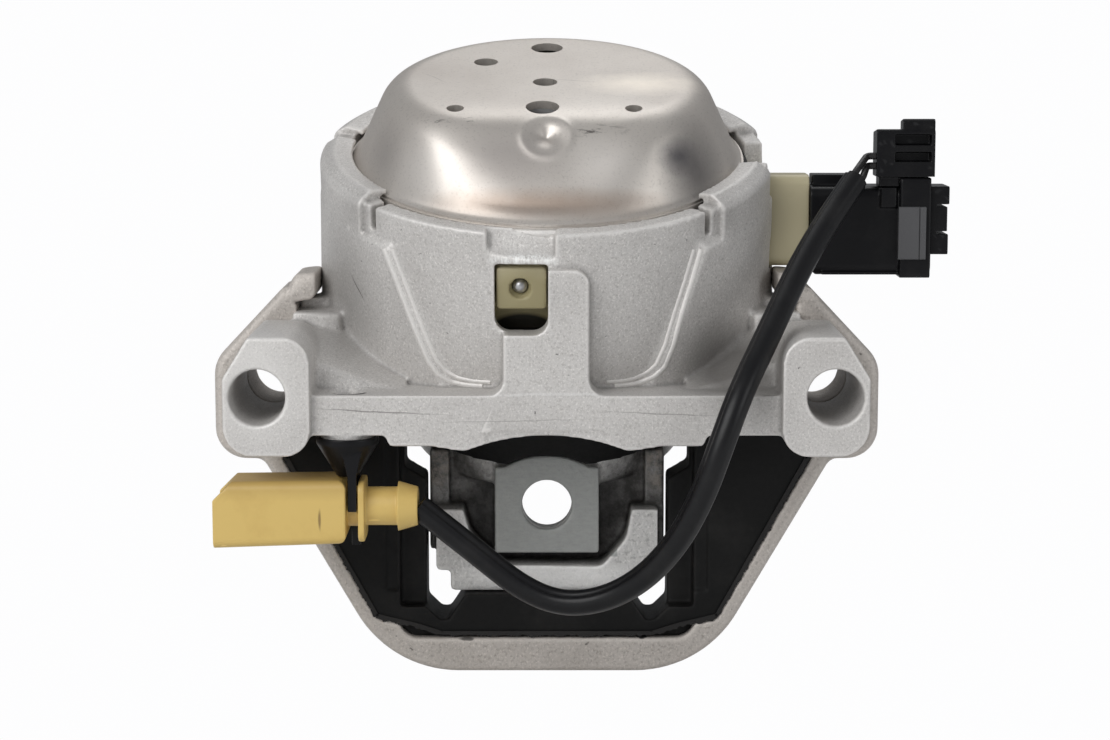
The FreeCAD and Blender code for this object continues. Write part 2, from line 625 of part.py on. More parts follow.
turned_body("plunger", [
    ("0", MEMBRANE_LEVEL + " - plunger_thick / 2"),
    ("plunger_radius", MEMBRANE_LEVEL + " - plunger_thick / 2"),
    ("plunger_radius", MEMBRANE_LEVEL + " + plunger_thick / 2"),
    ("stem_radius + 4", MEMBRANE_LEVEL + " + plunger_thick / 2"),
    ("stem_radius", MEMBRANE_LEVEL + " + plunger_thick / 2 + 4"), ("stem_radius", "-yoke_bottom - 2.4"),
    ("0", "-yoke_bottom - 2.4")])


# Main spring and core

def relief_cutter(radius, near, far):
    return rod(radius, V(0, near, -size.relief_level), V(0, far, -size.relief_level))


def main_spring():
    """The load-bearing rubber cone, hollow on its fluid side, relieved in front for the bolt."""
    bonded = size.pot_radius - size.pot_wall - size.rim_play - size.ring_wall
    low = -size.disc_level
    top = -size.pot_depth + size.pot_floor
    outline = [(0, low), (size.spring_foot, low), (size.spring_foot + 1.2, low + 3),
               (size.spring_top - 0.3, -size.pot_depth - 1), (size.spring_top - 0.3, top), (bonded, top),
               (bonded, RING_TOP), (bonded - 5, RING_TOP), (17, low + 10), (0, low + 10)]
    solid = moved(turned(outline))
    far = size.core_front + size.core_thick + 0.5
    return solid.cut(relief_cutter(size.relief_radius, size.core_front - 20, far))


feature("main_rubber_spring", main_spring())


def core():
    """The cast core: top disc, front wall with the bolt pad in a U-shaped frame, two cheeks."""
    front = size.core_front
    back = front + size.core_thick
    half = size.core_half
    wide = half + size.core_flank
    low = -size.core_low
    waist = -size.core_waist
    disc = moved(turned([(0, -size.disc_level - size.disc_thick),
                         (size.core_disc - 1, -size.disc_level - size.disc_thick),
                         (size.core_disc, -size.disc_level - size.disc_thick + 1),
                         (size.core_disc, -size.disc_level),
                         (0, -size.disc_level)]))
    under_disc = moved(Part.makeCylinder(200, 60, V(0, 0, -size.disc_level - 60)))
    frame = soft_prism(both_sides([(half, -10, 0), (half, low + 5.2, 1.2), (half - 3.7, low + 5.2, 0.8),
                                   (half - 3.7, low, 1.0)]), front, back)
    rear = prism(both_sides([(wide, -24), (wide, low + 9.5)]), front + 7, back)
    solid = fused([frame, rear])
    inner = [(22.4, 0, 0), (21.8, waist, 2), (20.4, waist - 7.6, 7), (14.2, waist - 14.8, 3),
             (-11.4, waist - 14.6, 4), (-19.6, waist - 6.8, 8), (-21.6, waist, 2), (-22.2, 0, 0)]
    solid = solid.cut(soft_prism(inner, front - 1, front + size.pocket_depth))
    for side in (-1, 1):
        edges = sorted([side * 21, side * (wide + 1)])
        solid = solid.cut(block(edges[0], edges[1], front - 1, front + size.pocket_depth, waist, 0))
    slab = block(-size.pad_half, size.pad_half, front, back, -size.pad_low, 0)
    cap_line = relief_cutter(size.relief_radius - size.travel_gap, front - 1, back + 1)
    shoulders = block(-size.pad_half, size.pad_half, front, back, -size.pad_low, -size.pad_top)
    solid = fused([solid.common(under_disc), slab.common(cap_line), shoulders])
    cheeks = []
    for side in (-1, 1):
        low_front = low + 9.5
        outline = [(front + 8, low_front), (back + 15, low_front), (size.cheek_back, -30),
                   (size.cheek_back, 0),
                   (front + 8, 0)]
        face = Part.Face(Part.makePolygon([V(0, a, b) for a, b in outline + outline[:1]]))
        face.translate(V(side * wide if side < 0 else wide - size.cheek_wall, 0, 0))
        cheeks.append(face.extrude(V(size.cheek_wall, 0, 0)).common(under_disc))
    solid = fused([solid, disc] + cheeks)
    bore = rod(size.core_bore, V(0, front - 1, -size.bore_level), V(0, back + 1, -size.bore_level))
    relief = rod(size.bore_relief, V(0, front + size.bore_length, -size.bore_level),
                 V(0, back + 1, -size.bore_level))
    return solid.cut(bore).cut(relief)


feature("core", core())


# Ring bracket and liner

RING_FRONT = size.ear_length
RING_BACK = size.ear_length + size.ring_thick


def ring_outline():
    """Right half of the ring's outline, from the arm's tip round to the bottom."""
    centre = size.ear_pitch / 2
    outer = centre + size.ring_boss
    top = size.ring_top
    return [(size.pot_radius + 2.9, top, 0), (centre - 5.9, top, 4.0), (outer, 3.6, 9.0),
            (outer, -size.ear_half_height - 7.1, 8.0), (centre + 3.3, -size.ear_half_height - 7.1, 3.0),
            (40.0, -size.ring_low, 30.0)]


def spring_room():
    """The room round the rubber spring that the loop stays out of."""
    low = -size.disc_level
    play = 1.5
    return moved(turned([(0, low - 2), (size.spring_foot + play, low - 2), (size.spring_foot + play, low + 2),
                         (size.spring_top + play, -size.pot_depth), (size.spring_top + play, -40), (0, -40)]))


def ring_bracket():
    """The cast U-shaped bracket that loops under the core and hugs the pot with its arms."""
    hug = size.pot_radius + 3.0
    step = hug + 4.4
    half = size.window_half
    floor = -size.window_floor
    tip = ring_outline()[0]
    outline = both_sides(ring_outline())
    solid = soft_prism(outline, RING_FRONT, RING_BACK)
    inside = [(hug, tip[1] + 5, 0), (hug, 21.2, 1.2), (step, 20.0, 1.2), (step, 9.0, 1.0), (hug, 6.0, 1.0),
              (hug, -4.5, 2.0), (half + 5.5, -5.5, 4.0), (half, -14.0, 3.0), (half, floor, 5.0)]
    solid = solid.cut(soft_prism(both_sides(inside), RING_FRONT - 1, RING_BACK + 1))
    recess = soft_prism(skin_outline(), RING_FRONT - 1, RING_FRONT + size.liner_recess)
    solid = solid.cut(recess).cut(spring_room())
    for side in (-1, 1):
        centre = side * size.ear_pitch / 2
        solid = solid.cut(rod(size.ear_bore, V(centre, RING_FRONT - 1, 0), V(centre, RING_BACK + 1, 0)))
    ahead = [e for e in solid.Edges if e.BoundBox.YLength < 0.01 and abs(middle(e).y - RING_FRONT) < 0.01
             and on_outside(middle(e))]
    return solid.makeChamfer(size.ring_edge, ahead)


def on_outside(point):
    """True for a point on the ring's outer line."""
    line = soft_wire(both_sides(ring_outline()))
    flat = Part.Vertex(V(point.x, 0, point.z))
    inner_gap = abs(point.x) < size.pot_radius + 3.2 and point.z > 0
    return line.distToShape(flat)[0] < 0.01 and not inner_gap


def skin_outline():
    """The line where the moulded rubber ends on the ring's front."""
    right = [(62.0, -12.0, 0), (67.6, -21.0, 2.0), (43.4, -63.2, 3.0), (33.5, -65.0, 3.0), (27.0, -67.0, 3.0)]
    return both_sides(right)


def window_outline():
    """The opening in the rubber, with its bump under the core, as a right half."""
    half = size.liner_half
    floor = -size.liner_floor
    bump_top = -size.core_low - size.travel_gap
    return [(half + 5.5, -5.0, 0), (half + 5.5, -24.2, 0.6), (half, -27.4, 1.0), (half, floor + 3.4, 1.5),
            (half - 3.5, floor, 1.2), (size.bump_half + 4.3, floor, 1.0), (size.bump_half, bump_top, 1.2)]


def ring_liner():
    """The rubber liner: a skin on the ring's front, stepped pads and the lining of the window."""
    front = RING_FRONT + size.liner_gap
    skin_back = RING_FRONT + size.liner_recess
    half = size.window_half
    skin = soft_prism(skin_outline(), front, skin_back)
    lining = soft_prism(both_sides([(half, -12.0, 0), (half, -size.window_floor, 5.0)]), skin_back - 0.01,
                        RING_BACK - 1)
    solid = fused([skin, lining])
    opening = soft_prism(both_sides(window_outline()), RING_FRONT - 5, RING_BACK + 5)
    solid = solid.cut(opening)
    over = block(-100, 100, RING_FRONT - 5, RING_BACK + 5, -12.0, 20)
    solid = solid.cut(over)
    for side in (-1, 1):
        edges = sorted([side * (size.liner_half - 1), side * (half - 0.4)])
        solid = solid.cut(block(edges[0], edges[1], RING_FRONT - 1, front + 4.5, -60.0, -10))
        edges = sorted([side * (half - 0.5), side * (half + 3.4)])
        solid = solid.cut(block(edges[0], edges[1], RING_FRONT - 1, front + 0.9, -56.0, -10))
    return solid.cut(spring_room())


feature("ring_bracket", ring_bracket())
feature("ring_liner", ring_liner())


# Plug, upright beside the tilted pot

def plug_body():
    """The black plug: barrel over the socket, upper rail and a latch block at its end."""
    front = size.plug_front
    back = size.plug_back
    foot = size.plug_foot
    top = size.plug_top
    main = block(SOCKET_END + 0.1, PLUG_END, front, back, foot, top)
    main = rounded(main, size.plug_round, lambda e: along(e, X))
    nose = block(-4, 4, front - 1, back + 1, -4, 0)
    nose.rotate(V(0, 0, 0), Y, 45)
    nose.translate(V(SOCKET_END + 0.1, 0, foot + 1.6))
    rail = block(SOCKET_END + 0.8, PLUG_END - 18, front + 4, back - 4, top - 1, size.socket_top)
    latch = block(PLUG_END - 8.1, PLUG_END - 0.3, front - 1.5, back - 3, foot - 0.6, top + 2.4)
    latch = rounded(latch, 1.0, lambda e: along(e, X))
    sill = block(SOCKET_END + 3, PLUG_END - 1, front - 0.5, front + 2, foot + 0.2, foot + 1.0)
    wall = size.socket_wall + size.fit_gap
    spigot = block(SOCKET_END - 6, SOCKET_END + 2, size.socket_front + wall, size.socket_back - wall,
                   size.socket_foot + wall, size.socket_top - wall)
    rib = block(PLUG_END - 13, PLUG_END - 9, front - 0.8, front + 1, top - 5.3, top - 0.2)
    solid = fused([main.cut(nose), rail, latch, sill, spigot, rib])
    for room in pin_room(size.fit_gap):
        solid = solid.cut(room)
    return solid


def plug_lock():
    """The end lock of the plug: three fingers on a plate."""
    start = PLUG_END
    near = size.plug_front + 1
    far = size.plug_back - 3
    plate = block(start, start + 1.6, near, far, 29.7, size.plug_top)
    pieces = [block(start + 1, start + reach, near, far, low, high)
              for low, high, reach in ((42.5, size.plug_top, 4.8), (35.6, 41.9, 4.3), (29.7, 34.9, 4.6))]
    return fused([plate] + pieces)


def lock_slide():
    """The grey slide that secures the plug, proud of the latch block's front."""
    front = size.plug_front - 1.5
    slide = block(PLUG_END - 8.6, PLUG_END - 1.6, front - 0.9, front, 28.6, 42.1)
    seam = block(PLUG_END - 3.4, PLUG_END - 3.1, front - 1, front - 0.5, 28, 43)
    return rounded(slide, 0.4, lambda e: along(e, X) and middle(e).y < front - 0.5).cut(seam)


def wire_cover():
    """The upper block that leads the two wires into the plug, slotted at its end."""
    near = size.plug_front - 1.6
    low = size.plug_top + 2.6
    left = PLUG_END - 14.4
    right = PLUG_END + 0.5
    deep = 8.0

    def side(points, start, end):
        face = Part.Face(Part.makePolygon([V(start, a, b) for a, b in points + points[:1]]))
        return face.extrude(V(end - start, 0, 0))

    main = side([(near, low), (near + deep, low), (near + deep, low + 11.2), (near + 0.8, low + 12.1),
                 (near, low + 11.4)], left, right)
    step = side([(near + 0.6, low + 11), (near + deep - 2, low + 11), (near + deep - 2, low + 14.0),
                 (near + 1.4, low + 14.7), (near + 0.6, low + 14.0)], right - 8.2, right)
    lower = block(left + 0.9, left + 6, near + 1.2, near + deep, size.plug_top + 0.05, low + 1)
    solid = fused([lower, main, step])
    for bottom, top in ((57.7, 60.5), (53.5, 56.0)):
        slot = block(right - 10.2, right - 0.9, near - 1, near + 3.4, bottom, top)
        solid = solid.cut(slot)
    return solid


feature("plug_body", plug_body())
feature("plug_end_lock", plug_lock())
feature("plug_lock_slide", lock_slide())
feature("wire_cover", wire_cover())


def socket_seal():
    """The rubber seal at the root of the socket's throat."""
    wall = size.socket_wall
    root = size.pot_radius - size.pot_wall - size.rim_play + 4.5
    room = (size.socket_front + wall, size.socket_back - wall, size.socket_foot + wall,
            size.socket_top - wall)
    outer = block(root, root + 1.8, *room)
    inner = block(root - 1, root + 3, room[0] + 2.4, room[1] - 2.4, room[2] + 2.4, room[3] - 2.4)
    return outer.cut(inner)


feature("socket_seal", socket_seal())
for number, level in enumerate(PIN_LEVELS, start=1):
    pin = doc.addObject("Part::Box", "terminal_pin_%d" % number)
    pin.Label = pin.Name
    pin.Length, pin.Width, pin.Height = PIN_SIZE
    middle_line = (size.socket_front + size.socket_back) / 2
    keep(pin, FreeCAD.Placement(V(pin_start(), middle_line - PIN_SIZE[1] / 2, level), FreeCAD.Rotation()))


# Cable, wires, far connector and clip

def rounded_route(points, report=False):
    """A wire of straight runs and tangent arcs through hand-chosen points."""
    edges = []
    last = points[0]
    for before, here, after in zip(points, points[1:], points[2:]):
        back = (before - here)
        ahead = (after - here)
        turn = math.pi - back.getAngle(ahead)
        radius = 0.45 * min(back.Length, ahead.Length) / math.tan(turn / 2)
        reach = radius * math.tan(turn / 2)
        enter = here + back.normalize() * reach
        leave = here + ahead.normalize() * reach
        bisector = (back + ahead).normalize()
        centre = here + bisector * (radius / math.cos(turn / 2))
        mid = centre - bisector * radius
        edges.append(Part.LineSegment(last, enter).toShape())
        edges.append(Part.Arc(enter, mid, leave).toShape())
        last = leave
        if report:
            print("cable arc radius %.1f mm" % radius)
    edges.append(Part.LineSegment(last, points[-1]).toShape())
    return Part.Wire(edges)


def swept(points, radius, report=False):
    """A round tube along the rounded route."""
    wire = rounded_route(points, report)
    start = wire.Edges[0]
    ring = Part.Wire(Part.makeCircle(radius, points[0], start.tangentAt(start.FirstParameter)))
    solid = wire.makePipeShell([ring], True, False)
    if report:
        wanted = math.pi * radius ** 2 * wire.Length
        found = (wire.Length, solid.Volume, wanted)
        print("cable length %.1f mm, volume %.0f, section times length %.0f" % found)
    return solid


ROUTE = [V(77.9, 43.0, 49.2), V(71.4, 36.0, 41.3), V(62.6, 23.5, 29.8), V(53.9, 7.0, 15.5),
         V(45.9, -6.5, 2.5),
         V(41.2, -9.5, -10.0), V(36.8, -8.0, -23.0), V(31.2, -4.0, -34.5), V(23.6, 1.0, -44.2),
         V(14.0, 5.0, -50.4),
         V(3.5, 7.5, -52.0), V(-6.5, 9.0, -48.0), V(-17.2, 10.0, -39.4), V(-31.2, 10.0, -28.2)]
feature("cable", swept(ROUTE, size.cable_radius, True))

AWAY = (ROUTE[0] - ROUTE[1]).normalize()
ASIDE = V(-AWAY.z, 0, AWAY.x).normalize()
WIRES = ((1.15, 54.9), (-1.15, 52.4))
for number, (gap, level) in enumerate(WIRES, start=1):
    first = ROUTE[0] + ASIDE * gap + AWAY * 0.05
    last = V(PLUG_END - 14.4 - 0.05, size.plug_front + 0.4, level)
    path = [first, first + AWAY * 2.2, last - X * 2.2, last]
    feature("wire_%d" % number, swept(path, size.wire_radius))


def far_connector():
    """The pale connector at the cable's far end: body, neck, thin flange, barrel and collar."""
    y = size.far_back
    z = -size.far_level
    depth = size.far_half_depth
    tall = size.far_half_height
    body = prism([(-80.3, z - tall), (-48.3, z - tall + 1.1), (-48.3, z + tall), (-75.8, z + tall - 0.3),
                  (-80.3, z + tall - 4.8)], y - depth, y + depth)
    body = rounded(body, 2.2, lambda e: e.Length > 20 or (along(e, Y) and middle(e).x > -60))
    axis = z + 0.9
    neck = rod(4.9, V(-49.0, y, axis), V(-45.0, y, axis))
    flange = rounded(block(-45.4, -43.9, y - 7.0, y + 7.0, axis - 8.0, axis + 6.9), 3.0,
                     lambda e: along(e, X))
    barrel = rod(4.7, V(-44.5, y, axis), V(-35.5, y, axis))
    collar = Part.makeCone(6.1, 4.7, 4.8, V(-36.0, y, axis), X)
    solid = fused([body, neck, flange, barrel, collar])
    mouth = block(-81, -66, y - depth + 2, y + depth - 2, z - tall + 2.2, z + tall - 2.4)
    tail = (ROUTE[-1] - ROUTE[-2]).normalize()
    room = rod(size.cable_radius + size.fit_gap / 2, ROUTE[-1] - tail * 9, ROUTE[-1] + tail * 0.1)
    return solid.cut(mouth).cut(room)


def cable_clip():
    """The clip in the bar's hole: barbed plug, funnel collar and a strap before the neck."""
    x = -size.clip_place
    y = size.clip_back
    top = -size.bar_bottom - 2.1
    stud = Part.makeCylinder(size.clip_hole - size.fit_gap, 8.5, V(x, y, top - 0.01))
    slot = block(x - 0.7, x + 0.7, y - 5, y + 5, top + 2.5, 5)
    funnel = turned([(0, -8.6), (2.6, -8.6), (7.6, -0.4), (7.6, 1.2), (6.7, 1.2), (6.7, 0), (0, 0)])
    funnel.translate(V(x, y, top))
    near = size.far_back - 4.9 - 0.3
    far = size.far_back + 4.9 + 0.3
    left = -47.9
    right = -45.7
    link = block(left, right, near - 1.3, far + 1.3, top - 8.0, top - 5.2)
    tongue = block(left, right, near - 1.3, near, -28.4, top - 7.0)
    strap = block(left, right, far, far + 1.3, -38.8, top - 7.0)
    brow = prism([(left, top - 8.0), (right, top - 8.0), (right + 1.2, top - 2.2), (left - 1.2, top - 2.2)],
                 near - 1.3, near)
    return fused([stud.cut(slot), funnel, link, tongue, strap, brow])


feature("far_connector", far_connector())
feature("cable_clip", cable_clip())
for number, level in enumerate((3.2, -3.2), start=1):
    contact = doc.addObject("Part::Box", "far_contact_%d" % number)
    contact.Label = contact.Name
    contact.Length = 9
    contact.Width = 2.2
    contact.Height = 0.8
    keep(contact, FreeCAD.Placement(V(-75.0, size.far_back - 1.1, -size.far_level + level),
                                    FreeCAD.Rotation()))

# Last look at every object, then one file for each sub-part
doc.recompute()
for item in doc.Objects:
    if "Invalid" in item.State or "Error" in item.State:
        raise RuntimeError("failed: " + item.Name)
for item in subparts:
    if item.Shape.isNull() or not item.Shape.isValid() or item.Shape.Volume <= 0:
        raise RuntimeError("bad shape: " + item.Label)
    item.Shape.exportStep("parts/%s.step" % item.Label)
    print("%-20s %10.0f mm3 solids %d faces %d" % (item.Label, item.Shape.Volume, len(item.Shape.Solids),
                                                 len(item.Shape.Faces)))
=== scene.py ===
import json
import math

import bmesh
import bpy
from mathutils import Matrix, Vector, noise
from mathutils.bvhtree import BVHTree


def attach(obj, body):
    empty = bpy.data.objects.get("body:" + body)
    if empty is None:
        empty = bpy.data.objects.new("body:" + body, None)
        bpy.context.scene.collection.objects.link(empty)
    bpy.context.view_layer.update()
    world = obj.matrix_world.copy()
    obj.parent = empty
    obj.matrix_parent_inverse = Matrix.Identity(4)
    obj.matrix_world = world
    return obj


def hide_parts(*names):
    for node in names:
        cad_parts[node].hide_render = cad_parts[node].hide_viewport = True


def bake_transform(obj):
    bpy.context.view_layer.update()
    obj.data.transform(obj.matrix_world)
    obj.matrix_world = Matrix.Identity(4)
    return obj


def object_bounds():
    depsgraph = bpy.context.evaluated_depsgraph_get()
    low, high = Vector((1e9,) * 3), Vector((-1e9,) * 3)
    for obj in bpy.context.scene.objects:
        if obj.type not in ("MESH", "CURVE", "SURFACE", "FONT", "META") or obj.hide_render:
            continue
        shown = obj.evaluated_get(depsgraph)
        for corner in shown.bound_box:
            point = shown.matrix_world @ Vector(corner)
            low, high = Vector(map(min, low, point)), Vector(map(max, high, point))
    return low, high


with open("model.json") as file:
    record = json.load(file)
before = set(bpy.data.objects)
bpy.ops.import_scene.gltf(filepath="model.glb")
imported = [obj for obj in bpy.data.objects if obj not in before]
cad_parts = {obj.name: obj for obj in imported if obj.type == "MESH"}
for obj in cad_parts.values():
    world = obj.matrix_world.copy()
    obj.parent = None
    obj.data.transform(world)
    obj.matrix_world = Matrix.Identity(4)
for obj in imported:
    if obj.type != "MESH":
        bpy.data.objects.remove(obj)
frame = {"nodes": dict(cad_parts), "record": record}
nodes = frame["nodes"]
low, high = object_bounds()
SLOTS = {subpart["node"]: subpart["material_slot"] for subpart in frame["record"]["subparts"]}

# Lengths below are in millimetres of the part's frame, unless a comment says metres
MM = 0.001

# Camera: its place in metres, found from the two bores and the rim
CAMERA_PLACE = (0.0021, -0.5886, 0.08735)
CAMERA_PITCH = math.radians(82.2)
LENS = 81.08
SENSOR_WIDTH = 36.0

# Axis of the pot, which leans back
POT_FOOT = (0, 56.8, 54.6)
POT_LEAN = math.radians(17)
POT = Matrix.Translation([MM * c for c in POT_FOOT]) @ Matrix.Rotation(POT_LEAN, 4, "X")

# Softened copies: grain, smoothing passes and most triangles of each
SOFTENED = {
    "main_rubber_spring": (0.9, 2, 60000),
    "housing": (0.5, 4, 150000),
    "ring_bracket": (0.6, 3, 60000),
    "ring_liner": (0.6, 3, 50000),
    "core": (0.5, 3, 60000),
    "terminal_carrier": (0.45, 2, 60000),
    "plug_body": (0.28, 2, 40000),
    "plug_end_lock": (0.22, 2, 16000),
    "wire_cover": (0.22, 2, 24000),
    "cable_clip": (0.25, 2, 16000),
    "far_connector": (0.25, 3, 40000),
}
SMOOTH_FACTOR = 0.5
FLAT_FACE_WEIGHT = 80

# Wider fillets of the housing: low corner, high corner, fade and smoothing passes
HOUSING_FILLETS = [
    ((-60, 7, -7), (-40, 56, 36), 4, 45),
    ((40, 7, -7), (60, 56, 36), 4, 45),
    ((-48, 4, 0.8), (-15, 34, 37), 3, 14),
    ((17, 4, 0.8), (48, 34, 37), 3, 14),
]

# Bends of the ring's right arm, mirrored on the left: inner and outer x, bottom and top z, fade and shift
ARM_FRONT = 30
ARM_BACK = 66
ARM_BENDS = [
    (57, 63.2, 19.6, 42, 1.2, (-1.5, 0, 0)),
    (57, 67, 17, 25.5, 2.4, (0, 0, -1.5)),
    (60, 65.6, 7.5, 18.6, 0.9, (-1.0, 0, 0)),
]

# Ribs of the two front panels, as x and z from the lugs down to the bar
RIB_LEFT = [(-38.3, 34.0), (-35.4, 26.2), (-32.6, 18.4), (-30.1, 12.0), (-27.7, 6.3), (-25.4, 3.4),
            (-22.4, 1.7), (-18.6, 1.1), (-13.4, 1.0)]
RIB_RIGHT = [(36.6, 34.0), (34.5, 26.2), (32.1, 18.4), (30.0, 10.5), (27.8, 5.2), (25.4, 2.9),
             (22.0, 1.5), (18.6, 1.1), (14.4, 1.0)]

# Crests of a rib: half their distance up the panel, and the height of the turn where they draw together
CREST_OFFSET = 0.95
OUTER_DROP = 0.35
INNER_RISE = 0.75
TURN_TOP = 8
TURN_HEIGHT = 6

# Beads that form the crests: radius, and depth of the middle below the skin, which is sought from in front
OUTER_BEAD = (0.95, 0.68)
INNER_BEAD = (0.8, 0.56)
SEEK_FROM = -100

# Cap: radii and heights in the pot's own axes
CROWN_HEIGHT = 20.5
CROWN_RINGS = (0.01, 6, 12, 17, 20)
CROWN_STEP = 0.8
CROWN_STEPS = 17
SHOULDER_CENTRE = (34.05, 11.5)
SHOULDER_RADIUS = 9.0
SHOULDER_STEPS = 14
WALL_LEAN = math.radians(24.87)
WALL_FOOT = (47.3, 4.3)
WALL_STEPS = 13
INNER_FLARE = [(0.6, 1.5), (1, -1.98)]
CAP_FLARE = [(47.75, 3.3), (48.15, 2.4), (48.6, 1.6), (49.1, 1.05), (49.6, 0.8), (49.9, 0.6), (50.0, 0.0),
             (50.5, 0.0), (50.55, -0.1), (50.55, -1.9), (50.45, -1.98)]
SHEET = 2.0
FACET_CROWN = 27.4
FACET_FOOT = 47.5
FACET_FOOT_HEIGHT = 3.0
FACET_FADE_START = 0.8
FACET_FADE = 4.5
CREASE = 2.0
DIMPLE_DROP = 5.4
DIMPLE_RADIUS = 5.6
DIMPLE_DEPTH = 2.1
DIMPLE_RIM = 0.22
RIM_WIDTH = 0.9
SHEET_WAVE = 0.09
SHARP_ANGLE = math.radians(32)
DRILL_LENGTH = 12
HOLES = [(0.0, 26.7, 4.15), (-15.8, 14.7, 3.1), (-0.4, -1.8, 3.1), (-1.0, -20.6, 4.15), (-22.5, -21.6, 2.15),
         (21.5, -21.6, 2.15)]

# Facets round the cap, in degrees: fine ones over the front, coarser ones behind
FRONT_HALF = 70
FINE_TURN = 0.5
COARSE_TURN = 1.6

# Lip under the cap at the window's notch: radius and height in the pot's own axes, and turns in degrees
LIP_SECTION = [(50.7, -5.5), (51.95, -5.5), (51.95, -0.9), (51.6, -0.35), (50.7, -0.35)]
LIP_START = -12.5
LIP_TURN = 21.5
LIP_STEPS = 44

# Rubber flash: the edge of the moulded rubber on the loop's front, as x and z
FLASH_EDGE = [(-62.0, -12.5), (-66.6, -21.0), (-43.8, -62.4), (-33.5, -64.9), (-27.0, -67.0), (0, -67.0),
              (27.0, -67.0), (33.5, -64.9), (43.8, -62.4), (66.6, -21.0), (62.0, -12.5)]
LOOP_MIDDLE = (0, 0, -30)
LOOP_FRONT = 38.5
FLASH_PROUD = 0.15
FLASH_THICKNESS = 0.2
FLASH_STEP = 0.35
FLASH_ROOT = 0.8

# Reach of the flash over the loop: least, usual, ragged and in blots
FLASH_LEAST = 0.12
FLASH_REACH = 0.35
FLASH_RAGGED = 0.55
FLASH_BLOT = 1.5

# Cable: the same route as in the part's source
CABLE_ROUTE = [
    (77.9, 43.0, 49.2), (71.4, 36.0, 41.3), (62.6, 23.5, 29.8), (53.9, 7.0, 15.5), (45.9, -6.5, 2.5),
    (41.2, -9.5, -10.0), (36.8, -8.0, -23.0), (31.2, -4.0, -34.5), (23.6, 1.0, -44.2), (14.0, 5.0, -50.4),
    (3.5, 7.5, -52.0), (-6.5, 9.0, -48.0), (-17.2, 10.0, -39.4), (-31.2, 10.0, -28.2),
]

# Cable: diameter in metres
CABLE_DIAMETER = 0.0065

# Jacket: depth of its flats and grooves as shares of the radius, and where the grooves run
FLAT_DEPTH = 0.06
GROOVE_DEPTH = 0.12
GROOVE_WIDTH = 0.09
GROOVE_HALF_TURNS = (0.6, 1.9)
JACKET_SIDES = 48

# Lamps: name, place, target and size in metres, and power in watts
LAMPS = [
    ("key", (-0.55, -0.75, 0.55), (0, 0.03, 0), 0.9, 7.2),
    ("fill", (0.8, -0.5, 0.25), (0, 0.03, 0), 0.6, 1.4),
    ("top", (0.1, 0.5, 0.8), (0, 0.05, 0), 0.6, 1.6),
]
BACKGROUND = (0.985, 0.985, 0.99, 1)
SOFT_LIGHT = (0.95, 0.97, 1.0, 1)
SOFT_STRENGTH = 0.3
FLOOR_COLOR = (0.9, 0.9, 0.9, 1)
FLOOR_ROUGH = 0.9

# Floor: its drop below the part and half its width, in metres
FLOOR_DROP = 0.004
FLOOR_REACH = 3.0

# Colours that several materials share
SHADE = (0.2, 0.19, 0.18)
BLACK = (0.005, 0.005, 0.006)
DUST = (0.05, 0.048, 0.045)

# Grain of torn rims and of wandering scratches, in grains per metre
TORN_GRAIN = 260
WANDER_GRAIN = 130

# Way that the part's front looks, as a normal
FRONTWARD = (0, -1, 0)


def shaded(color, factor, lift=0.0):
    """A colour made darker or lighter, at most white."""
    return tuple(min(1.0, factor * c + lift) for c in color)


# Materials

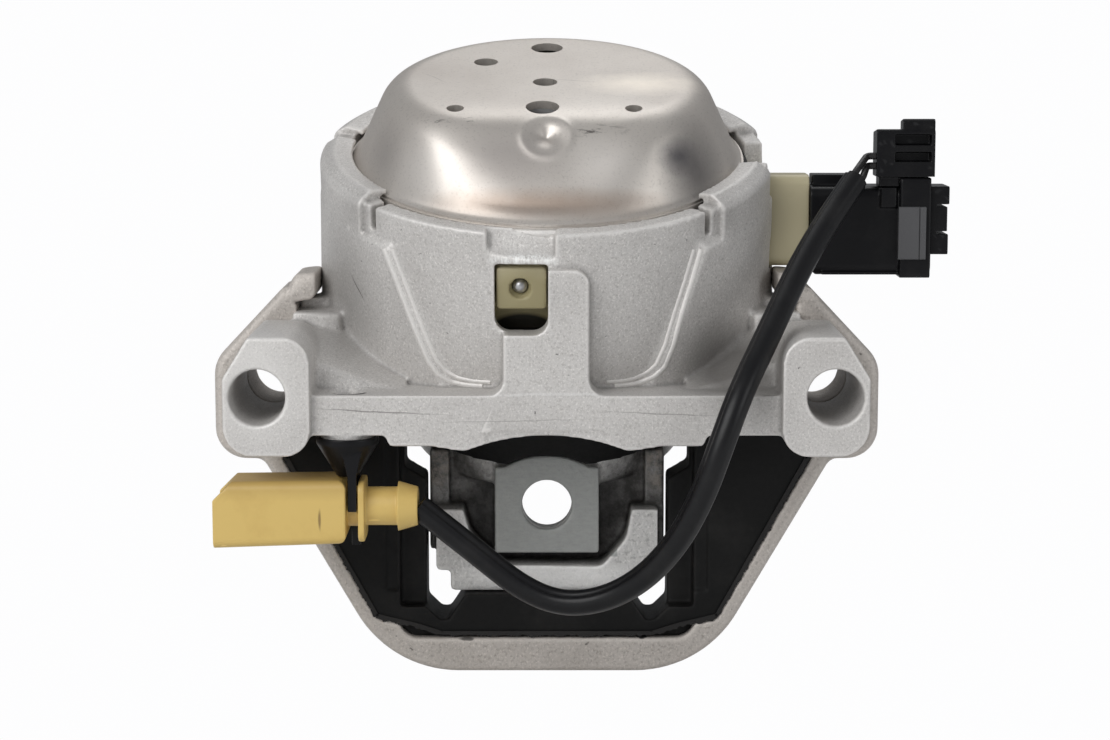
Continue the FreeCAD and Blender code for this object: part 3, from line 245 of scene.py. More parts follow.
class Surface:
    """A shader that is built up from procedural layers."""

    def __init__(self, name, color, rough, metallic=0.0, specular=0.5):
        self.material = bpy.data.materials.new(name)
        self.material.use_nodes = True
        self.tree = self.material.node_tree
        self.shader = self.tree.nodes["Principled BSDF"]
        self.shader.inputs["Base Color"].default_value = (*color, 1)
        self.shader.inputs["Roughness"].default_value = rough
        self.shader.inputs["Metallic"].default_value = metallic
        self.shader.inputs["Specular IOR Level"].default_value = specular
        self.place = self.node("ShaderNodeTexCoord").outputs["Object"]
        self.color = color
        self.last_color = None
        self.last_bump = None

    def node(self, kind, **settings):
        made = self.tree.nodes.new(kind)
        for key, value in settings.items():
            setattr(made, key, value)
        return made

    def link(self, source, target):
        self.tree.links.new(source, target)

    def noise(self, scale, detail=3.0, rough=0.5, stretch=(1, 1, 1)):
        """A noise in the part's own frame; scale is in grains per metre."""
        mapping = self.node("ShaderNodeMapping")
        mapping.inputs["Scale"].default_value = stretch
        self.link(self.place, mapping.inputs["Vector"])
        texture = self.node("ShaderNodeTexNoise")
        texture.inputs["Scale"].default_value = scale
        texture.inputs["Detail"].default_value = detail
        texture.inputs["Roughness"].default_value = rough
        self.link(mapping.outputs["Vector"], texture.inputs["Vector"])
        return texture.outputs["Fac"]

    def ramp(self, value, start, end):
        """0 where the value is at start and 1 where it is at end."""
        ramp = self.node("ShaderNodeMapRange")
        ramp.inputs["From Min"].default_value = start
        ramp.inputs["From Max"].default_value = end
        self.link(value, ramp.inputs["Value"])
        return ramp.outputs["Result"]

    def axis(self, name):
        """One coordinate of the part's frame."""
        split = self.node("ShaderNodeSeparateXYZ")
        self.link(self.place, split.inputs["Vector"])
        return split.outputs[name]

    def past(self, coordinate, start, end):
        """0 where the coordinate is at start and 1 where it is at end."""
        return self.ramp(coordinate, start * MM, end * MM)

    def product(self, first, second):
        """High only where both masks are."""
        both = self.node("ShaderNodeMath", operation="MULTIPLY")
        self.link(first, both.inputs[0])
        self.link(second, both.inputs[1])
        return both.outputs[0]

    def edges(self, start, end):
        """High on the crests where start is below end, and in the hollows where it is above."""
        return self.ramp(self.node("ShaderNodeNewGeometry").outputs["Pointiness"], start, end)

    def spot(self, centre, radii, turn=(0, 0, 0), edge=0.5, ragged=0.0, place=None):
        """A patch whose rim is soft over the share that edge gives, and torn where ragged is set."""
        mapping = self.node("ShaderNodeMapping", vector_type="TEXTURE")
        mapping.inputs["Location"].default_value = [MM * c for c in centre]
        mapping.inputs["Rotation"].default_value = turn
        mapping.inputs["Scale"].default_value = [MM * r for r in radii]
        self.link(place or self.place, mapping.inputs["Vector"])
        reach = self.node("ShaderNodeVectorMath", operation="LENGTH")
        self.link(mapping.outputs["Vector"], reach.inputs[0])
        value = reach.outputs["Value"]
        rim = 1.0
        if ragged:
            torn = self.node("ShaderNodeMath", operation="MULTIPLY_ADD")
            torn.inputs[1].default_value = ragged
            self.link(self.noise(TORN_GRAIN, detail=4.0, rough=0.65), torn.inputs[0])
            self.link(value, torn.inputs[2])
            value = torn.outputs[0]
            rim += ragged / 2
        return self.ramp(value, rim, rim - edge)

    def wandering_place(self, wander):
        """The part's frame, shaken softly by so many millimetres."""
        wave = self.node("ShaderNodeTexNoise")
        wave.inputs["Scale"].default_value = WANDER_GRAIN
        self.link(self.place, wave.inputs["Vector"])
        shift = self.node("ShaderNodeVectorMath", operation="MULTIPLY_ADD")
        shift.inputs[1].default_value = [2 * wander * MM] * 3
        shift.inputs[2].default_value = [-wander * MM] * 3
        self.link(wave.outputs["Color"], shift.inputs[0])
        moved = self.node("ShaderNodeVectorMath", operation="ADD")
        self.link(self.place, moved.inputs[0])
        self.link(shift.outputs["Vector"], moved.inputs[1])
        return moved.outputs["Vector"]

    def streak(self, start, end, normal, width, wander, reach=3.0, edge=0.6):
        """A thin mark from one place to another on a face with that normal."""
        a = Vector(start)
        b = Vector(end)
        along = (b - a).normalized()
        side = along.cross(Vector(normal)).normalized()
        turn = Matrix((side, side.cross(along), along)).transposed().to_euler()
        radii = (width / 2, reach, (b - a).length / 2)
        return self.spot((a + b) / 2, radii, turn, edge, place=self.wandering_place(wander))

    def tint(self, mask, other, amount):
        """Mixes another colour in where the mask is high."""
        mix = self.node("ShaderNodeMix", data_type="RGBA")
        strength = self.node("ShaderNodeMath", operation="MULTIPLY")
        strength.inputs[1].default_value = amount
        self.link(mask, strength.inputs[0])
        self.link(strength.outputs[0], mix.inputs["Factor"])
        if self.last_color is None:
            mix.inputs["A"].default_value = (*self.color, 1)
        else:
            self.link(self.last_color, mix.inputs["A"])
        mix.inputs["B"].default_value = (*other, 1)
        self.last_color = mix.outputs["Result"]
        self.link(self.last_color, self.shader.inputs["Base Color"])
        return self

    def tint_patch(self, centre, radii, other, amount, edge=0.5, ragged=0.0):
        """Mixes another colour in over a patch."""
        return self.tint(self.spot(centre, radii, edge=edge, ragged=ragged), other, amount)

    def scratch(self, start, end, normal, width, wander, other, amount):
        """Mixes another colour in along a thin mark."""
        return self.tint(self.streak(start, end, normal, width, wander), other, amount)

    def gloss(self, mask, low_value, high_value):
        """Roughness that runs between two values with the mask."""
        spread = self.node("ShaderNodeMapRange")
        spread.inputs["To Min"].default_value = low_value
        spread.inputs["To Max"].default_value = high_value
        self.link(mask, spread.inputs["Value"])
        self.link(spread.outputs["Result"], self.shader.inputs["Roughness"])
        return self

    def bump(self, height, depth, strength=1.0):
        """Adds relief; depth is the height of the mask's full swing."""
        bump = self.node("ShaderNodeBump")
        bump.inputs["Strength"].default_value = strength
        bump.inputs["Distance"].default_value = depth * MM
        self.link(height, bump.inputs["Height"])
        if self.last_bump is not None:
            self.link(self.last_bump, bump.inputs["Normal"])
        self.last_bump = bump.outputs["Normal"]
        self.link(self.last_bump, self.shader.inputs["Normal"])
        return self


def cast_aluminium(name, color, grain, depth, rough, dark, metallic=0.3):
    """Cast metal: fine grain, broader swells, specks, stained patches, lighter crests and darker hollows."""
    skin = Surface(name, color, rough, metallic)
    fine = skin.noise(grain, rough=0.6)
    middle = skin.noise(grain * 0.3, detail=4.0, rough=0.6)
    broad = skin.noise(grain * 0.05)
    dark_grain = skin.noise(grain * 0.7, detail=4.0, rough=0.7)
    skin.tint(skin.ramp(dark_grain, 0.5, 0.66), dark, 0.6)
    light_grain = skin.noise(grain * 0.9, detail=2.0, rough=0.6, stretch=(1.2, 1, 0.9))
    skin.tint(skin.ramp(light_grain, 0.54, 0.68), shaded(color, 1.4), 0.65)
    stains_and_painted_light = skin.ramp(skin.noise(48, detail=5.0, rough=0.65), 0.45, 0.75)
    skin.tint(stains_and_painted_light, dark, 0.3)
    pits = skin.ramp(skin.noise(640, detail=2.0), 0.735, 0.77)
    skin.tint(pits, shaded(dark, 0.25), 0.7)
    # Lighter on the crests and darker in the hollows, by the surface's pointiness
    crests = skin.edges(0.504, 0.54)
    skin.tint(crests, shaded(color, 1.35), 0.65)
    hollows = skin.edges(0.494, 0.45)
    skin.tint(hollows, shaded(dark, 0.45), 0.65)
    skin.gloss(middle, rough - 0.1, rough + 0.12)
    return skin.bump(fine, depth * 1.5).bump(middle, depth * 3, 0.8).bump(broad, depth * 6, 0.5)


def housing_metal():
    """The cast housing's skin, with painted shade in its corners and round the lugs, a painted highlight on
    the left ear, a hole painted black, its scratches, its lap lines and a painted highlight along the bar's
    top edge.
    """
    skin = cast_aluminium("cast_housing", (0.6, 0.582, 0.562), 2200, 0.05, 0.5, (0.36, 0.34, 0.325))
    # Painted shade on the right web, on the left flank and web and round the lugs, and a painted highlight on
    # the left ear: centre, radii, soft share of the rim, colour and amount
    stains_and_painted_light = [
        ((47, 22, 2), (17, 26, 17), 0.6, SHADE, 0.95),
        ((-71, 2, 4), (16, 12, 18), 0.6, (0.8, 0.785, 0.76), 0.4),
        ((-50, 32, 22), (13, 20, 27), 0.8, SHADE, 0.5),
        ((-52, 40, 4), (8, 24, 7), 0.9, SHADE, 0.35),
        ((-44, 26, 43), (9, 12, 6), 0.8, SHADE, 0.35),
        ((41, 22, 42), (9, 12, 6), 0.8, SHADE, 0.35),
    ]
    for centre, radii, edge, other, amount in stains_and_painted_light:
        skin.tint_patch(centre, radii, other, amount, edge)
    # The flange plate's hole painted black for the shade inside it, and faint painted shade round the window
    skin.tint_patch((-47.5, 7.5, 0), (4.2, 3.5, 1.7), (0.01, 0.01, 0.01), 0.97, edge=0.25, ragged=0.9)
    skin.tint_patch((0, 8, 24), (12, 26, 9), SHADE, 0.15, edge=0.8)
    ink = (0.1, 0.09, 0.085)
    skin.scratch((-49.2, 31.6, 27.8), (-44.5, 27.4, 19.0), (-0.8, -0.6, -0.1), 0.5, 0.6, ink, 0.85)
    # Lap lines, and last a painted highlight along the bar's top edge: start, end, width, wander, colour and
    # amount
    lap_lines_and_edge_highlight = [
        ((-58, 3, -3.0), (-22, 3, -4.4), 0.45, 0.5, ink, 0.6),
        ((-30, 3, -6.6), (14, 3, -5.4), 0.35, 0.6, ink, 0.35),
        ((8, 3, -3.4), (46, 3, -5.2), 0.4, 0.7, ink, 0.4),
        ((-26, 3, 0.2), (30, 3, 0.6), 0.9, 0.4, (0.78, 0.77, 0.76), 0.4),
    ]
    for start, end, width, wander, other, amount in lap_lines_and_edge_highlight:
        skin.scratch(start, end, FRONTWARD, width, wander, other, amount)
    bright = skin.spot((-5.5, 4.6, 32.2), (9.5, 4, 2.1), edge=0.4, ragged=0.8)
    scrape = skin.ramp(skin.noise(1500, detail=2.0, rough=0.6, stretch=(1, 1, 0.12)), 0.4, 0.6)
    skin.tint(skin.product(bright, scrape), (0.92, 0.92, 0.9), 0.85)
    return skin.material


def loop_metal():
    """The ring's rougher casting, with torn bits of rubber stuck to it."""
    skin = cast_aluminium("cast_loop", (0.51, 0.473, 0.438), 1700, 0.08, 0.56, (0.25, 0.225, 0.2))
    rubber = (0.02, 0.02, 0.02)
    skin.tint_patch((24.5, 39.5, -67.5), (1.6, 3, 1.1), rubber, 0.95, edge=0.3, ragged=1.2)
    skin.tint_patch((-20.5, 39.5, -68.4), (2.4, 3, 0.5), rubber, 0.8, edge=0.3, ragged=1.4)
    return skin.material


def core_metal():
    """The core's casting: bright rough rim, a recess dark with oxide and with painted shade, and a milled
    square round the bore with painted light under it.
    """
    skin = cast_aluminium("cast_core", (0.62, 0.61, 0.595), 1300, 0.1, 0.5, (0.26, 0.255, 0.25), 0.4)
    depth = skin.axis("Y")
    # The recess behind the front face: dark with oxide, deepened by painted shade
    hollow_oxide_and_shade = skin.product(skin.past(depth, 44.5, 53), skin.past(depth, 66, 58))
    patch = skin.ramp(skin.noise(150, detail=5.0, rough=0.7), 0.62, 0.4)
    skin.tint(skin.product(hollow_oxide_and_shade, patch), (0.03, 0.027, 0.025), 0.95)
    skin.tint(hollow_oxide_and_shade, (0.05, 0.046, 0.042), 0.7)
    # Painted shade: black next to the milled square
    middle = skin.spot((0, 50, -36), (25.5, 12, 19.5), edge=0.25)
    skin.tint(skin.product(hollow_oxide_and_shade, middle), (0.012, 0.012, 0.012), 0.6)
    milled = skin.ramp(skin.noise(1400, rough=0.6, stretch=(0.3, 1, 1)), 0.3, 0.7)
    # Painted light over the shadow under the milled square
    skin.tint_patch((0, 43, -53), (26, 3, 6), (0.95, 0.94, 0.92), 0.6)
    rough = skin.ramp(skin.noise(420, detail=4.0, rough=0.7), 0.42, 0.62)
    for side in (-1, 1):
        corner = skin.spot((side * 30, 51, -25), (6.5, 4, 9), edge=0.6)
        skin.tint(skin.product(corner, rough), (0.42, 0.37, 0.32), 0.75)
    across = skin.axis("X")
    square = skin.product(skin.past(depth, 43.8, 43.1), skin.past(skin.axis("Z"), -47.8, -47.4))
    square = skin.product(square, skin.past(across, -18.3, -17.9))
    square = skin.product(square, skin.past(across, 18.3, 17.9))
    skin.tint(square, (0.3, 0.31, 0.3), 0.9)
    skin.tint(skin.product(square, milled), (0.42, 0.425, 0.41), 0.6)
    return skin.material


def drawn_steel(name):
    """Drawn sheet steel with soft stained clouds, fine rub marks, painted highlights and painted shade, and a
    warmer, darker band round the foot.
    """
    skin = Surface(name, (0.63, 0.59, 0.545), 0.45, 0.7)
    cloud = skin.ramp(skin.noise(24, detail=4.0, rough=0.6), 0.38, 0.68)
    rub = skin.noise(900, rough=0.65, stretch=(1.0, 0.2, 1.0))
    fleck = skin.ramp(skin.noise(1500, rough=0.7), 0.54, 0.68)
    skin.tint(cloud, (0.5, 0.455, 0.42), 0.55).tint(fleck, (0.36, 0.33, 0.31), 0.4)
    # Painted highlights and painted shade on the bell, and a warmer, darker band round the foot: centre,
    # radii, soft share of the rim, raggedness, colour and amount
    painted_light_and_shade = [
        ((24, 47, 74), (18, 12, 6), 0.9, 0.5, (0.95, 0.88, 0.78), 0.75),
        ((-30, 24, 53), (12, 12, 14), 0.9, 0.0, (0.9, 0.86, 0.82), 0.35),
        ((14, 17, 55), (12, 12, 9), 0.9, 0.0, (0.95, 0.9, 0.85), 0.5),
        ((-10, 18, 56), (20, 15, 11), 0.8, 0.0, (0.42, 0.385, 0.365), 0.6),
        ((32.5, 25, 56), (7.5, 9, 5.5), 0.9, 0.4, (0.04, 0.042, 0.06), 0.8),
        ((37, 28, 52), (13, 16, 16), 0.9, 0.0, (0.14, 0.13, 0.13), 0.8),
        ((-40, 34, 56), (7, 12, 10), 0.9, 0.0, (0.3, 0.28, 0.27), 0.4),
        ((0, 10, 45.5), (44, 16, 4.5), 0.8, 0.3, (0.4, 0.3, 0.235), 0.75),
    ]
    for centre, radii, edge, ragged, other, amount in painted_light_and_shade:
        skin.tint_patch(centre, radii, other, amount, edge, ragged)
    ink = (0.07, 0.06, 0.055)
    scuff = skin.ramp(skin.noise(700, detail=4.0, rough=0.7, stretch=(0.25, 1, 1)), 0.55, 0.62)
    rubbed = [((12, 22.5, 62.5), (9, 5, 2.0), 0.75), ((-24, 24, 65), (11, 6, 2.0), 0.7)]
    for centre, radii, amount in rubbed:
        skin.tint(skin.product(skin.spot(centre, radii, edge=0.7), scuff), ink, amount)
    crown = (0, -0.3, 0.95)
    skin.scratch((-36, 62, 77), (-22, 44, 72), crown, 0.35, 0.8, ink, 0.35)
    skin.scratch((-3, 52, 74.5), (14, 49, 73.7), crown, 0.3, 0.5, ink, 0.35)
    skin.gloss(cloud, 0.4, 0.52)
    return skin.bump(rub, 0.02, 0.5).bump(fleck, 0.02, 0.4).material


def machined(name, color, rough=0.34):
    """Machined metal with fine tool lines."""
    skin = Surface(name, color, rough, 0.9)
    lines = skin.noise(900, detail=2.0, stretch=(0.08, 1.0, 1.0))
    cloud = skin.noise(60)
    skin.tint(cloud, shaded(color, 0.8), 0.5)
    skin.gloss(lines, rough - 0.08, rough + 0.12)
    return skin.bump(lines, 0.01, 0.5).material


def moulded_rubber(name, rough=0.62):
    """Moulded rubber with a faint bloom and a fine uneven skin."""
    skin = Surface(name, (0.005, 0.005, 0.005), rough, 0.0, 0.2)
    fine = skin.noise(900, detail=4.0, rough=0.6)
    bloom = skin.ramp(skin.noise(42, detail=5.0, rough=0.65), 0.5, 0.8)
    skin.tint(bloom, (0.035, 0.033, 0.031), 0.4)
    skin.tint(skin.edges(0.52, 0.58), (0.04, 0.038, 0.037), 0.5)
    skin.gloss(fine, rough - 0.15, rough + 0.1)
    return skin.bump(fine, 0.07, 0.7).material


def moulded_plastic(name, color, rough, dirt, amount, specular=0.5):
    """Moulded plastic with a satin skin, handling marks and worn edges."""
    skin = Surface(name, color, rough, 0.0, specular)
    fine = skin.noise(1800)
    mark = skin.ramp(skin.noise(75, detail=5.0, rough=0.65), 0.5, 0.78)
    skin.tint(mark, dirt, amount)
    skin.tint(skin.edges(0.52, 0.6), shaded(color, 1.5, 0.02), 0.5)
    skin.gloss(fine, rough - 0.07, rough + 0.1)
    return skin.bump(fine, 0.025, 0.5)


def pale_nylon():
    """The socket and the tab behind the window, olive with age, with painted shade over the tab and in the
    recess below the ball.
    """
    skin = moulded_plastic("nylon", (0.48, 0.43, 0.28), 0.4, (0.34, 0.29, 0.16), 0.5)
    # Painted shade on the tab inside the window, darker and more olive than the nylon's own tone, and the
    # recess below the ball painted black
    skin.tint_patch((-5.7, 14, 22), (14, 14, 12), (0.3, 0.26, 0.13), 0.75, edge=0.4)
    skin.tint_patch((-5.7, 18.5, 14.6), (9, 6, 4.1), (0.008, 0.007, 0.006), 0.98, edge=0.25)
    skin.tint_patch((62, 50, 60), (14, 30, 6), (0.3, 0.27, 0.17), 0.3, edge=0.9)
    return skin.material


def pale_connector():
    """The pale connector: warm yellow, with painted shade darkening its top brown, and one smudge."""
    skin = moulded_plastic("pale_plastic", (0.67, 0.475, 0.15), 0.4, (0.5, 0.31, 0.08), 0.45)
    # Painted shade: the top darker and browner
    skin.tint(skin.past(skin.axis("Z"), -25.5, -18.5), (0.33, 0.2, 0.06), 0.75)
    skin.scratch((-54.5, 2, -27), (-54.4, 2, -33), FRONTWARD, 0.9, 0.4, (0.2, 0.12, 0.04), 0.8)
    return skin.material


def wound_copper(name):
    """Enamelled wire laid in even turns."""
    skin = Surface(name, (0.5, 0.2, 0.07), 0.3, 0.9)
    turns = skin.noise(600, detail=1.0, rough=0.4, stretch=(0.1, 0.1, 5.0))
    skin.gloss(turns, 0.22, 0.4)
    return skin.bump(turns, 0.1, 0.7).material


def build_materials():
    """One material for each slot of the record."""
    return {
        "cast_housing": housing_metal(),
        "cast_loop": loop_metal(),
        "cast_core": core_metal(),
        "cap_steel": drawn_steel("cap_steel"),
        "soft_steel": machined("soft_steel", (0.5, 0.5, 0.51)),
        "plate_alloy": machined("plate_alloy", (0.66, 0.66, 0.68)),
        "magnet": machined("magnet", (0.56, 0.56, 0.58), 0.25),
        "copper": wound_copper("copper"),
        "rubber": moulded_rubber("rubber"),
        "nylon": pale_nylon(),
        "black_plastic": moulded_plastic("black_plastic", BLACK, 0.3, DUST, 0.15, 0.2).material,
        "grey_plastic": moulded_plastic("grey_plastic", (0.05, 0.05, 0.053), 0.5, DUST, 0.3).material,
        "pale_plastic": pale_connector(),
        "cable_jacket": moulded_plastic("cable_jacket", BLACK, 0.34, (0.04, 0.038, 0.036), 0.2, 0.3).material,
        "wire_skin": moulded_plastic("wire_skin", (0.014, 0.013, 0.013), 0.4, DUST, 0.2, 0.4).material,
        "contact": machined("contact", (0.7, 0.62, 0.45), 0.25),
    }


def dress_nodes(materials):
    """Each CAD node takes the material of its own slot."""
    for node, slot in SLOTS.items():
        mesh = nodes[node].data
        mesh.materials.clear()
        mesh.materials.append(materials[slot])


# Pieces

def add_object(name, data, material=None):
    """A new object in the scene, drawn in the part's frame."""
    if material is not None:
        data.materials.clear()
        data.materials.append(material)
    piece = bpy.data.objects.new(name, data)
    bpy.context.scene.collection.objects.link(piece)
    return piece


def finish_copy(piece, node, body):
    """The piece rides the body and stands for the node."""
    if body:
        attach(piece, body)
    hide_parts(node)


def bake(piece):
    """Turns the modifiers of a piece into its mesh."""
    graph = bpy.context.evaluated_depsgraph_get()
    done = bpy.data.meshes.new_from_object(piece.evaluated_get(graph))
    piece.modifiers.clear()
    piece.data = done


def face_outward(mesh, crease=None):
    """Turns all faces outward, and with a crease angle shades them smooth up to that angle."""
    work = bmesh.new()
    work.from_mesh(mesh)
    bmesh.ops.recalc_face_normals(work, faces=work.faces)
    if crease is not None:
        for edge in work.edges:
            if len(edge.link_faces) == 2 and edge.calc_face_angle() > crease:
                edge.smooth = False
        for face in work.faces:
            face.smooth = True
    work.to_mesh(mesh)
    work.free()


def box_weight(place, near, far, fade):
    """1 deep inside a box, and falling to 0 at its sides."""
    weight = 1.0
    for value, start, end in zip(place / MM, near, far):
        weight = min(weight, (value - start) / fade, (end - value) / fade)
    return weight


# Softened copies: cast and moulded pieces with the small radii that their solids leave out

def round_off(piece, near, far, fade, passes):
    """Wider fillets inside a box, that fade out towards its sides."""
    group = piece.vertex_groups.new(name="zone")
    for vertex in piece.data.vertices:
        weight = box_weight(vertex.co, near, far, fade)
        if weight > 0:
            group.add([vertex.index], weight, "REPLACE")
    ease = piece.modifiers.new("fillet", "SMOOTH")
    ease.factor = SMOOTH_FACTOR
    ease.iterations = passes
    ease.vertex_group = "zone"
    bake(piece)
    piece.vertex_groups.clear()


def soften(node, body="mount", zones=()):
    """A copy of a solid with its edges eased by the grain, shown in its place."""
    grain, passes, most_triangles = SOFTENED[node]
    source = nodes[node]
    mesh = source.data.copy()
    mesh.transform(source.matrix_world)
    piece = add_object(node + "_skin", mesh, source.data.materials[0])
    remesh = piece.modifiers.new("grain", "REMESH")
    remesh.mode = "VOXEL"
    remesh.voxel_size = grain * MM
    ease = piece.modifiers.new("ease", "SMOOTH")
    ease.factor = SMOOTH_FACTOR
    ease.iterations = passes
    bake(piece)
    triangles = 2 * len(piece.data.polygons)
    for near, far, fade, turns in zones:
        round_off(piece, near, far, fade, turns)
    if triangles > most_triangles:
        thin = piece.modifiers.new("thin", "DECIMATE")
        thin.ratio = most_triangles / triangles
        bake(piece)
    for face in piece.data.polygons:
        face.use_smooth = True
    even = piece.modifiers.new("even", "WEIGHTED_NORMAL")
    even.weight = FLAT_FACE_WEIGHT
    bake(piece)
    finish_copy(piece, node, body)
    return piece


def bend_arms(ring):
    """Moves the tip of each arm in and down, to where the photo shows it."""
    for side in (-1, 1):
        for inner, outer, bottom, top, fade, shift in ARM_BENDS:
            left, right = sorted((side * inner, side * outer))
            near = (left, ARM_FRONT, bottom)
            far = (right, ARM_BACK, top)
            move = Vector((side * shift[0], shift[1], shift[2])) * MM
            for vertex in ring.data.vertices:
                weight = box_weight(vertex.co, near, far, fade)
                if weight > 0:
                    vertex.co += move * weight


# Ribs: the double crest on each front panel

def nurbs_line(name, places, order):
    """A smooth curve that starts and ends at the outer ones of its places, which are in metres."""
    data = bpy.data.curves.new(name, "CURVE")
    data.dimensions = "3D"
    data.use_fill_caps = True
    line = data.splines.new("NURBS")
    line.points.add(len(places) - 1)
    for point, place in zip(line.points, places):
        point.co = (*place, 1)
    line.order_u = order
    line.use_endpoint_u = True
    return data


def add_bead(name, skin, path, radius, sunk):
    """A cast bead that follows the skin behind a path of x and z, sunk a little into it."""
    tree = BVHTree.FromPolygons([v.co for v in skin.data.vertices], [f.vertices for f in skin.data.polygons])
    away = Vector((0, 1, 0))
    places = []
    for start, end in zip(path, path[1:]):
        steps = max(2, int(math.dist(start, end)))
        for i in range(steps):
            x = (start[0] + (end[0] - start[0]) * i / steps) * MM
            z = (start[1] + (end[1] - start[1]) * i / steps) * MM
            hit = tree.ray_cast(Vector((x, SEEK_FROM * MM, z)), away)[0]
            places.append(hit + away * (sunk * MM))
    data = nurbs_line(name, places, 4)
    data.bevel_depth = radius * MM
    data.bevel_resolution = 3
    bead = add_object(name, data, skin.data.materials[0])
    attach(bead, "mount")


def add_beads(skin):
    """The rib's two crests on each side, which draw together where the rib turns in along the bar."""
    for name, path, side in (("rib_left", RIB_LEFT, -1), ("rib_right", RIB_RIGHT, 1)):
        outer = []
        inner = []
        for x, z in path:
            turned = min(1, max(0, (TURN_TOP - z) / TURN_HEIGHT))
            outer.append((x + side * CREST_OFFSET, z - OUTER_DROP * turned))
            inner.append((x - side * CREST_OFFSET, z + INNER_RISE * turned))
        add_bead(name + "_outer", skin, outer, *OUTER_BEAD)
        add_bead(name + "_inner", skin, inner, *INNER_BEAD)


# Cap: the same bell as the solid, with the soft creases of drawn sheet

def cap_profile(inset):
    """Radius and height down the bell from the crown's middle to the flare, inset by the sheet or not."""
    bend = SHOULDER_RADIUS - inset
    top = CROWN_HEIGHT - inset
    points = [(radius, top) for radius in CROWN_RINGS]
    points += [(CROWN_RINGS[-1] + CROWN_STEP * i, top) for i in range(1, CROWN_STEPS + 1)]
    middle, level = SHOULDER_CENTRE
    for i in range(SHOULDER_STEPS + 1):
        turn = math.pi / 2 + (WALL_LEAN - math.pi / 2) * i / SHOULDER_STEPS
        points.append((middle + bend * math.cos(turn), level + bend * math.sin(turn)))
    last = points[-1]
    foot = (WALL_FOOT[0] - inset, WALL_FOOT[1])
    for i in range(1, WALL_STEPS + 1):
        points.append(tuple(a + (b - a) * i / WALL_STEPS for a, b in zip(last, foot)))
    if inset:
        return points + [(foot[0] + out, height) for out, height in INNER_FLARE]
    return points + CAP_FLARE


def on_cap(radius, height, turn, inset):
    """A place on the bell, pressed in softly by the facet's plane and its dimple."""
    slope = math.atan2(CROWN_HEIGHT - FACET_FOOT_HEIGHT, FACET_FOOT - FACET_CROWN)
    normal = Vector((0, -math.sin(slope), math.cos(slope)))
    down = Vector((0, -math.cos(slope), -math.sin(slope)))
    place = Vector((radius * math.sin(turn), -radius * math.cos(turn), height))
    start = Vector((0, -FACET_CROWN, CROWN_HEIGHT)) - normal * inset
    proud = (place - start).dot(normal)
    ease = min(1.0, max(0.0, (height - FACET_FADE_START) / FACET_FADE))
    press = CREASE * math.log1p(math.exp(proud / CREASE))
    place -= normal * press * ease * ease * (3 - 2 * ease)
    across = place - start
    reach = math.hypot(across.x, across.dot(down) - DIMPLE_DROP)
    if place.y < 0 and reach < 2 * DIMPLE_RADIUS:
        bowl = max(0.0, 1 - reach / (DIMPLE_RADIUS * 0.95))
        rim = math.exp(-((reach - DIMPLE_RADIUS * 1.08) / RIM_WIDTH) ** 2)
        place += normal * (DIMPLE_RIM * rim - DIMPLE_DEPTH * bowl * bowl * (3 - 2 * bowl) ** 0.5)
    wave = noise.noise(place * 0.045) + 0.4 * noise.noise(place * 0.13)
    return place + normal * SHEET_WAVE * wave


def cap_drill(material):
    """The six round tools that cut the crown's holes."""
    mesh = bpy.data.meshes.new("drill")
    tool = bmesh.new()
    for across, back, radius in HOLES:
        spot = Matrix.Translation((across * MM, back * MM, CROWN_HEIGHT * MM))
        bmesh.ops.create_cone(tool, cap_ends=True, segments=48, radius1=radius * MM, radius2=radius * MM,
                              depth=DRILL_LENGTH * MM, matrix=spot)
    tool.to_mesh(mesh)
    tool.free()
    return add_object("drill", mesh, material)


def build_cap(material):
    """The bell as one closed shell, finer in front, with its six holes."""
    fine_count = int(2 * FRONT_HALF / FINE_TURN) + 1
    coarse_count = int((360 - 2 * FRONT_HALF) / COARSE_TURN)
    turns = [math.radians(-FRONT_HALF + FINE_TURN * i) for i in range(fine_count)]
    turns += [math.radians(FRONT_HALF + COARSE_TURN * i) for i in range(1, coarse_count)]
    outer = [(r, z, 0.0) for r, z in cap_profile(0.0)]
    inner = [(r, z, SHEET) for r, z in reversed(cap_profile(SHEET))]
    rows = outer + inner
    count = len(turns)
    places = [on_cap(r, z, turn, inset) * MM for r, z, inset in rows for turn in turns]
    faces = []
    for row in range(len(rows) - 1):
        for i in range(count):
            j = (i + 1) % count
            a = row * count
            b = a + count
            faces.append((a + i, b + i, b + j, a + j))
    faces.append(tuple(range(count)))
    last = (len(rows) - 1) * count
    faces.append(tuple(last + i for i in reversed(range(count))))
    mesh = bpy.data.meshes.new("cap_shell")
    mesh.from_pydata([tuple(place) for place in places], [], faces)
    mesh.update()
    piece = add_object("cap_shell", mesh, material)
    drill = cap_drill(material)
    cut = piece.modifiers.new("holes", "BOOLEAN")
    cut.operation = "DIFFERENCE"
    cut.solver = "EXACT"
    cut.object = drill
    bake(piece)
    bpy.data.objects.remove(drill)
    piece.data.transform(POT)
    face_outward(piece.data, SHARP_ANGLE)
    finish_copy(piece, "cap", "mount")


# Lip: the thin wall between the window's notch and the cap, which a softened copy leaves ragged

